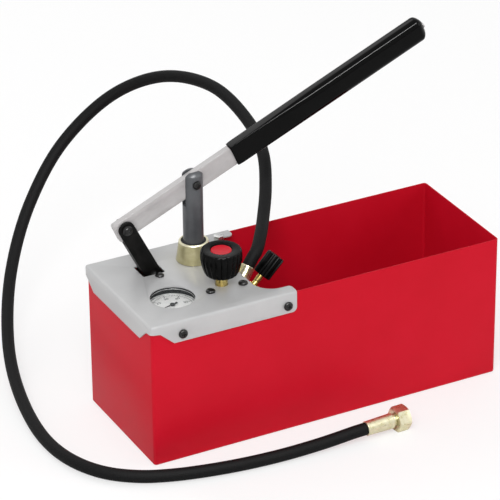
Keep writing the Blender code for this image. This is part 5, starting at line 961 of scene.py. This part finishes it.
# Red cap: moulded plastic, satin, its sunk middle slightly darker from handling.
cap_red = finish("red_moulded_plastic", "C20C22", "D21028", rough=(0.3, 0.42),
                 patch=0.006, grain=0.0012, depth=0.00005, specular=0.18)
cap = [(0.0121, 0.2239), (0.0122, 0.2249), (0.0119, 0.2253), (0.0111, 0.2255), (0.0104, 0.2252),
       (0.0002, 0.22515)]
lathed("wheel_cap", cap, at_valve, "shutoff_wheel", cap_red, "cap_red", "shutoff_cap",
       ease=0.0001, angle=50)


# Release valve: a plated bonnet in the block's slanted face, a bright spindle and a small deeply
# fluted knob. It lets the pressure back into the trough.
RELEASE_AXIS = Vector((0.68962, 0, 0.724172)).normalized()
RELEASE = aim((-0.08025, -0.035, 0.163), RELEASE_AXIS)
FLUTES = 10
FLUTE_RADIUS = 0.0022
FLUTE_CENTRE = 0.0111

hexagon = hex_nut("release_hexagon", 0.014, CLEARANCE, 0.0083, 0)
neck = [(0.005, -0.009), (0.005, 0.0002), (0.0058, 0.0002), (0.0058, 0.0128), (0.0054, 0.0133)]
combined(hexagon, "UNION", turned("release_neck", neck, sides=64))
cut(hexagon, peg(0.00405, -0.02, 0.02, sides=48))
softened(hexagon, 0.0002, 45)
fitted(hexagon, "base", golden_zinc, "golden_zinc", "release_bonnet", place=RELEASE)

spindle = [(0.002, -0.0105), (0.00375, -0.0068), (0.00375, 0.0165), (0.0034, 0.0168),
           (0.0034, 0.0176), (0.00375, 0.0179), (0.00375, 0.0384)]
lathed("release_spindle_turned", spindle, RELEASE, "release_stem", golden_zinc, "golden_zinc",
       "release_spindle", ease=0.00015, sides=64)

knob_profile = [(0.0002, 0.0387), (0.00405, 0.0387), (0.00405, 0.0267), (0.009, 0.0267),
                (0.0108, 0.0272), (0.0112, 0.0282), (0.0112, 0.0536), (0.0108, 0.0548),
                (0.0096, 0.0554), (0.006, 0.0554), (0.0056, 0.055), (0.0002, 0.055)]
knob = turned("fluted_knob", knob_profile, sides=120)
for i in range(FLUTES):
    turn = Matrix.Rotation(math.tau * (i + 0.5) / FLUTES, 4, "Z")
    flute = peg(FLUTE_RADIUS, 0.024, 0.058, sides=24)
    flute.matrix_world = turn @ Matrix.Translation((FLUTE_CENTRE, 0, 0))
    cut(knob, flute)
softened(knob, 0.0004, 35)
fitted(knob, "release_wheel", black_moulding, "black_plastic", "release_knob", place=RELEASE)


# Delivery valve: a ball on its seat in the block's boss, held by a spring under a bright plated
# hexagon plug. The plug's thread goes down into the boss.
DELIVERY = Vector((-0.06625, 0.0639, 0))
at_delivery = Matrix.Translation(DELIVERY)

plug = hex_nut("delivery_hexagon", 0.011, 0.1788, 0.19, 0, at_delivery)
combined(plug, "UNION", peg(0.0052, 0.168, 0.179, at_delivery, 48))
fitted(plug, "base", bright_steel, "bright_steel", "delivery_plug")


# Under the plate: the milled block that joins the pump to its valves, the barrel screwed into it
# with the foot valve and its strainer below, the gauge's stem and the link's folded bracket.
# They hardly show, so all but the barrel are their own solids with the edges eased.

# Machined aluminium alloy: pale grey, with cutter lines 0.6 mm apart.
block_alloy, tree, shader = new_finish("milled_alloy", metallic=0.9)
here = add(tree, "TexCoord", {}).outputs["Object"]
patchy(tree, shader, here, "94969A", "A6A8AA", (0.34, 0.46), 0.015)
lines = add(tree, "TexWave", {"Vector": here, "Scale": 500.0, "Distortion": 1.0}, bands_direction="X")
bump = add(tree, "Bump", {"Height": lines.outputs["Fac"], "Distance": 0.00002, "Strength": 0.5})
tree.links.new(bump.outputs["Normal"], shader.inputs["Normal"])

# Machined brass: warm yellow, brighter where it was last turned.
brass = finish("machined_brass", "A8873A", "C4A452", rough=(0.24, 0.36),
               patch=0.006, grain=0.0008, depth=0.000006, metallic=0.95)


def eased(node, name, radius):
    """A copy of a node's own solid with its points merged and its sharp edges eased."""
    piece = copied(frame["nodes"][node], name)
    piece.parent = None
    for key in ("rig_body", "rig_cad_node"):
        if key in piece:
            del piece[key]
    opened(piece, "SELECT")
    bpy.ops.mesh.remove_doubles(threshold=0.00001)
    bpy.ops.mesh.dissolve_limited(angle_limit=math.radians(2))
    leave()
    return softened(piece, radius, 35)


for node, name, ease, material, slot in (
    ("pump_block", "valve_block", 0.0005, block_alloy, "block_alloy"),
    ("foot_valve_body", "foot_valve_casing", 0.0004, brass, "brass"),
    ("gauge_stem", "gauge_bottom_entry", 0.0003, brass, "brass"),
    ("link_bracket", "foot_bracket", 0.0004, black_paint, "black_steel"),
):
    fitted(eased(node, name, ease), "base", material, slot, node)

cylinder = [(0.0163, 0.06), (0.022, 0.06), (0.022, 0.1447), (0.0163, 0.1447)]
lathed("pump_cylinder", cylinder, at_pump, "base", bright_steel, "bright_steel", "barrel",
       ease=0.0006, bored=True)

# White polypropylene strainer: moulded, slightly see-through looking, with a satin skin.
strainer_white = finish("moulded_polypropylene", "D2D2CB", "DEDED8", rough=(0.42, 0.55),
                        patch=0.008, grain=0.001, depth=0.00003)
fitted(eased("suction_strainer", "strainer_cup", 0.0003), "base", strainer_white,
       "strainer_white", "suction_strainer")


# Delivery pipe: bright plated steel tube with one bend, from the foot valve up to the block inside
# the trough, held by a ferrule nut at each end.
DIRECTION = Vector((DELIVERY.x - PUMP.x, DELIVERY.y - PUMP.y, 0))
PIPE_REACH = DIRECTION.length
DIRECTION.normalize()
PORT_LEVEL = 0.0519
BEND_RADIUS = 0.012
PIPE_RADIUS = 0.004

bend = arc(PIPE_REACH - BEND_RADIUS, PORT_LEVEL + BEND_RADIUS, BEND_RADIUS, 270, 360, 20)
route = [(0.0253, PORT_LEVEL)] + bend + [(PIPE_REACH, 0.1417)]
places = [PUMP + DIRECTION * out + height * Z for out, height in route]
only(tube("riser_pipe", places, PIPE_RADIUS, 8))
bpy.ops.object.convert(target="MESH")
fitted(bpy.context.object, "base", bright_steel, "bright_steel", "delivery_pipe")
at_foot_valve = aim(PUMP + PORT_LEVEL * Z, DIRECTION)
for name, place, low, high in (("upper", at_delivery, 0.1327, 0.1417),
                               ("lower", at_foot_valve, 0.0253, 0.0343)):
    nut = hex_nut(f"riser_nut_{name}", 0.015, low, high, LINK_BORE, place)
    fitted(nut, "base", golden_zinc, "golden_zinc", f"pipe_nut_{name}")


# Hose ends: each ferrule is a steel sleeve pressed on to the hose by eight jaws, which leave flats
# along it. The first sits on a hexagon nipple in the block, the other carries a swivel nut.
SLEEVE_BORE = 0.0042
JAWS = 8
JAW_DEPTH = 0.0003


def crimped(name, radius_start, radius_end, length, place):
    """A sleeve from a place along its axis, with eased ends and eight shallow flats pressed along it."""
    waist = radius_start + (radius_end - radius_start) * 0.85
    profile = [(SLEEVE_BORE, 0.0024), (SLEEVE_BORE, 0.0003), (0.006, 0), (radius_start - 0.0006, 0),
               (radius_start, 0.0006), (radius_start, 0.0028), (waist, length * 0.85),
               (radius_end, length - 0.0009), (radius_end - 0.0006, length), (SLEEVE_BORE, length)]
    piece = turned(name, profile, bored=True)
    for vertex in piece.data.vertices:
        reach = vertex.co.to_2d().length
        if reach > HOSE_RADIUS and 0.002 < vertex.co.z < length * 0.9:
            ridge = abs(math.sin(math.atan2(vertex.co.y, vertex.co.x) * JAWS / 2))
            vertex.co.xy *= 1 - JAW_DEPTH * ridge ** 0.35 / reach
    softened(piece, 0.0002, 40)
    return settled(piece, place)


# Thin yellow zinc: nearly white metal with a straw tint, softly brushed, a little greener in places.
pale_zinc = finish("straw_zinc_plate", "C9C29A", "DAD5BC", rough=(0.24, 0.34),
                   patch=0.005, grain=0.0006, depth=0.000004, metallic=0.9)
pump_sleeve = crimped("hose_sleeve", 0.0088, 0.0088, 0.0205, aim(PORT_END, -PORT_AXIS))
fitted(pump_sleeve, "base", pale_zinc, "bright_steel", "pump_ferrule")
at_port = aim(PORT_END, PORT_AXIS)
nipple = hex_nut("nipple_hexagon", 0.019, -0.0287, -0.0208, 0, at_port)
stem = [(0.006, -0.0379), (0.006, -0.0285), (0.0035, -0.0285), (0.0035, -0.0027)]
combined(nipple, "UNION", turned("nipple_stem", stem, at_port, 48))
fitted(nipple, "base", bright_steel, "bright_steel", "hose_nipple")

at_end = aim(END_START, END_AXIS)
end_sleeve = crimped("end_sleeve", 0.0087, 0.0094, 0.0355, at_end)
fitted(end_sleeve, "base", pale_zinc, "golden_zinc", "end_ferrule")
tail_profile = [(0.003, 0.0027), (0.0042, 0.0027), (0.0042, 0.0358), (0.0076, 0.0358),
                (0.0076, 0.0386), (0.0072, 0.0386), (0.0072, 0.043), (0.0094, 0.043),
                (0.0094, 0.0464), (0.009, 0.0469), (0.003, 0.0469)]
tail = lathed("end_tail", tail_profile, at_end, "base", pale_zinc, "golden_zinc", "hose_tail",
              bored=True)

# The swivel nut's mouth is bored to the tail's face and grooved as a thread would be.
NUT_START = 0.0389
NUT_END = 0.0551
THREAD_START = 0.0462
THREAD_PITCH = 0.0013
THREAD_TURNS = 6
swivel = hex_nut("swivel_hexagon", 0.027, NUT_START, NUT_END, 0, sides=96)
mouth = [(0.01, 0.0429), (0.01, NUT_END - 0.0014), (0.0114, NUT_END), (0.0114, NUT_END + 0.002)]
cut(swivel, turned("nut_mouth", mouth), peg(0.0075, 0.03, 0.05, sides=96))
for i in range(THREAD_TURNS):
    level = THREAD_START + THREAD_PITCH * i
    groove = [(0.0099, level - 0.0004), (0.0105, level), (0.0099, level + 0.0004)]
    cut(swivel, turned("thread_groove", groove))
fitted(swivel, "nut", pale_zinc, "golden_zinc", "swivel_nut", place=at_end)
washer_profile = [(0.0055, 0.0472), (0.0094, 0.0472), (0.0094, 0.0492), (0.0055, 0.0492)]
washer = lathed("end_washer", washer_profile, at_end, "base", seal_rubber, "seal_rubber", "sealing_washer",
                bored=True)


# Inner parts that hardly show: the piston with its seal and nut on the rod's foot, the gland's
# seal, the two valve balls and the delivery spring. Their solids stay, with the real finishes.
for name, material in (("piston", brass), ("piston_seal", seal_rubber), ("piston_nut", bright_steel),
                       ("gland_seal", seal_rubber), ("suction_ball", bright_steel),
                       ("delivery_ball", bright_steel), ("delivery_spring", bright_steel)):
    inner = frame["nodes"][name]
    inner.data.materials.clear()
    inner.data.materials.append(material)


# Studio: a wide pale floor that goes white towards the horizon, one large soft lamp above and to
# the left in front, a weaker one on the right, and an even pale room light.
FLOOR_SIZE = 60
FLOOR_GLOW = 0.6
ROOM_LIGHT = 0.55
LAMP_TARGET = Vector((-0.03, 0, 0.12))
TUBE_TARGET = Vector((0.07, 0.04, 0.36))
TUBE_DISTANCE = 3.4

only()
bpy.ops.mesh.primitive_plane_add(size=FLOOR_SIZE, location=(0, 0, -0.0002))
floor = bpy.context.object
floor.name = "studio_floor"
floor_paint, tree, shader = new_finish("white_studio_floor")
shader.inputs["Base Color"].default_value = linear("FFFFFF")
shader.inputs["Roughness"].default_value = 0.9
seen = add(tree, "LightPath", {})
share = add(tree, "Math", {0: seen.outputs["Is Camera Ray"], 1: FLOOR_GLOW}, operation="MULTIPLY")
glow = add(tree, "Emission", {"Color": linear("FFFFFF"), "Strength": 1.0})
both = add(tree, "MixShader", {0: share.outputs[0], 1: shader.outputs[0], 2: glow.outputs[0]})
tree.links.new(both.outputs[0], tree.nodes["Material Output"].inputs["Surface"])
floor.data.materials.append(floor_paint)
floor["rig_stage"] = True

world = bpy.data.worlds.new("pale_room")
bpy.context.scene.world = world
world.use_nodes = True
sky = world.node_tree
room = sky.nodes["Background"]
room.inputs["Color"].default_value = linear("FFFFFF")
rays = add(sky, "LightPath", {}).outputs
shown = add(sky, "Math", {0: rays["Is Camera Ray"], 1: rays["Is Glossy Ray"]}, operation="MAXIMUM")
clear = add(sky, "Math", {0: shown.outputs[0], 1: rays["Is Transmission Ray"]}, operation="MAXIMUM")
strength = add(sky, "MapRange", {"Value": clear.outputs[0], "To Min": ROOM_LIGHT, "To Max": 1.0})
sky.links.new(strength.outputs[0], room.inputs["Strength"])

for name, place, size, power in (("key_lamp", (-1.6, -2.2, 2.6), 1.8, 62),
                                 ("fill_lamp", (2.4, -1.4, 1.6), 2.0, 18),
                                 ("back_lamp", (-0.4, 2.4, 2.4), 2.0, 20)):
    bpy.ops.object.light_add(type="AREA", location=place)
    lamp = bpy.context.object
    lamp.name = name
    lamp.data.shape = "DISK"
    lamp.data.size = size
    lamp.data.energy = power
    lamp.rotation_euler = (Vector(place) - LAMP_TARGET).to_track_quat("Z", "Y").to_euler()

# A narrow tube lamp over the front, in line with the lever, draws the line of light on the grip.
towards = Vector((-0.132, -0.591, 0.796)).normalized()
lever_line = LEVER.to_3x3() @ X
along = (lever_line - towards * lever_line.dot(towards)).normalized()
bpy.ops.object.light_add(type="AREA")
lamp = bpy.context.object
lamp.name = "tube_lamp"
lamp.data.shape = "RECTANGLE"
lamp.data.size = 2.4
lamp.data.size_y = 0.3
lamp.data.energy = 150
lamp.visible_diffuse = False
lamp.matrix_world = basis(TUBE_TARGET + towards * TUBE_DISTANCE, along, towards.cross(along), towards)

bpy.context.scene.view_settings.view_transform = "Standard"

low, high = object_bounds()
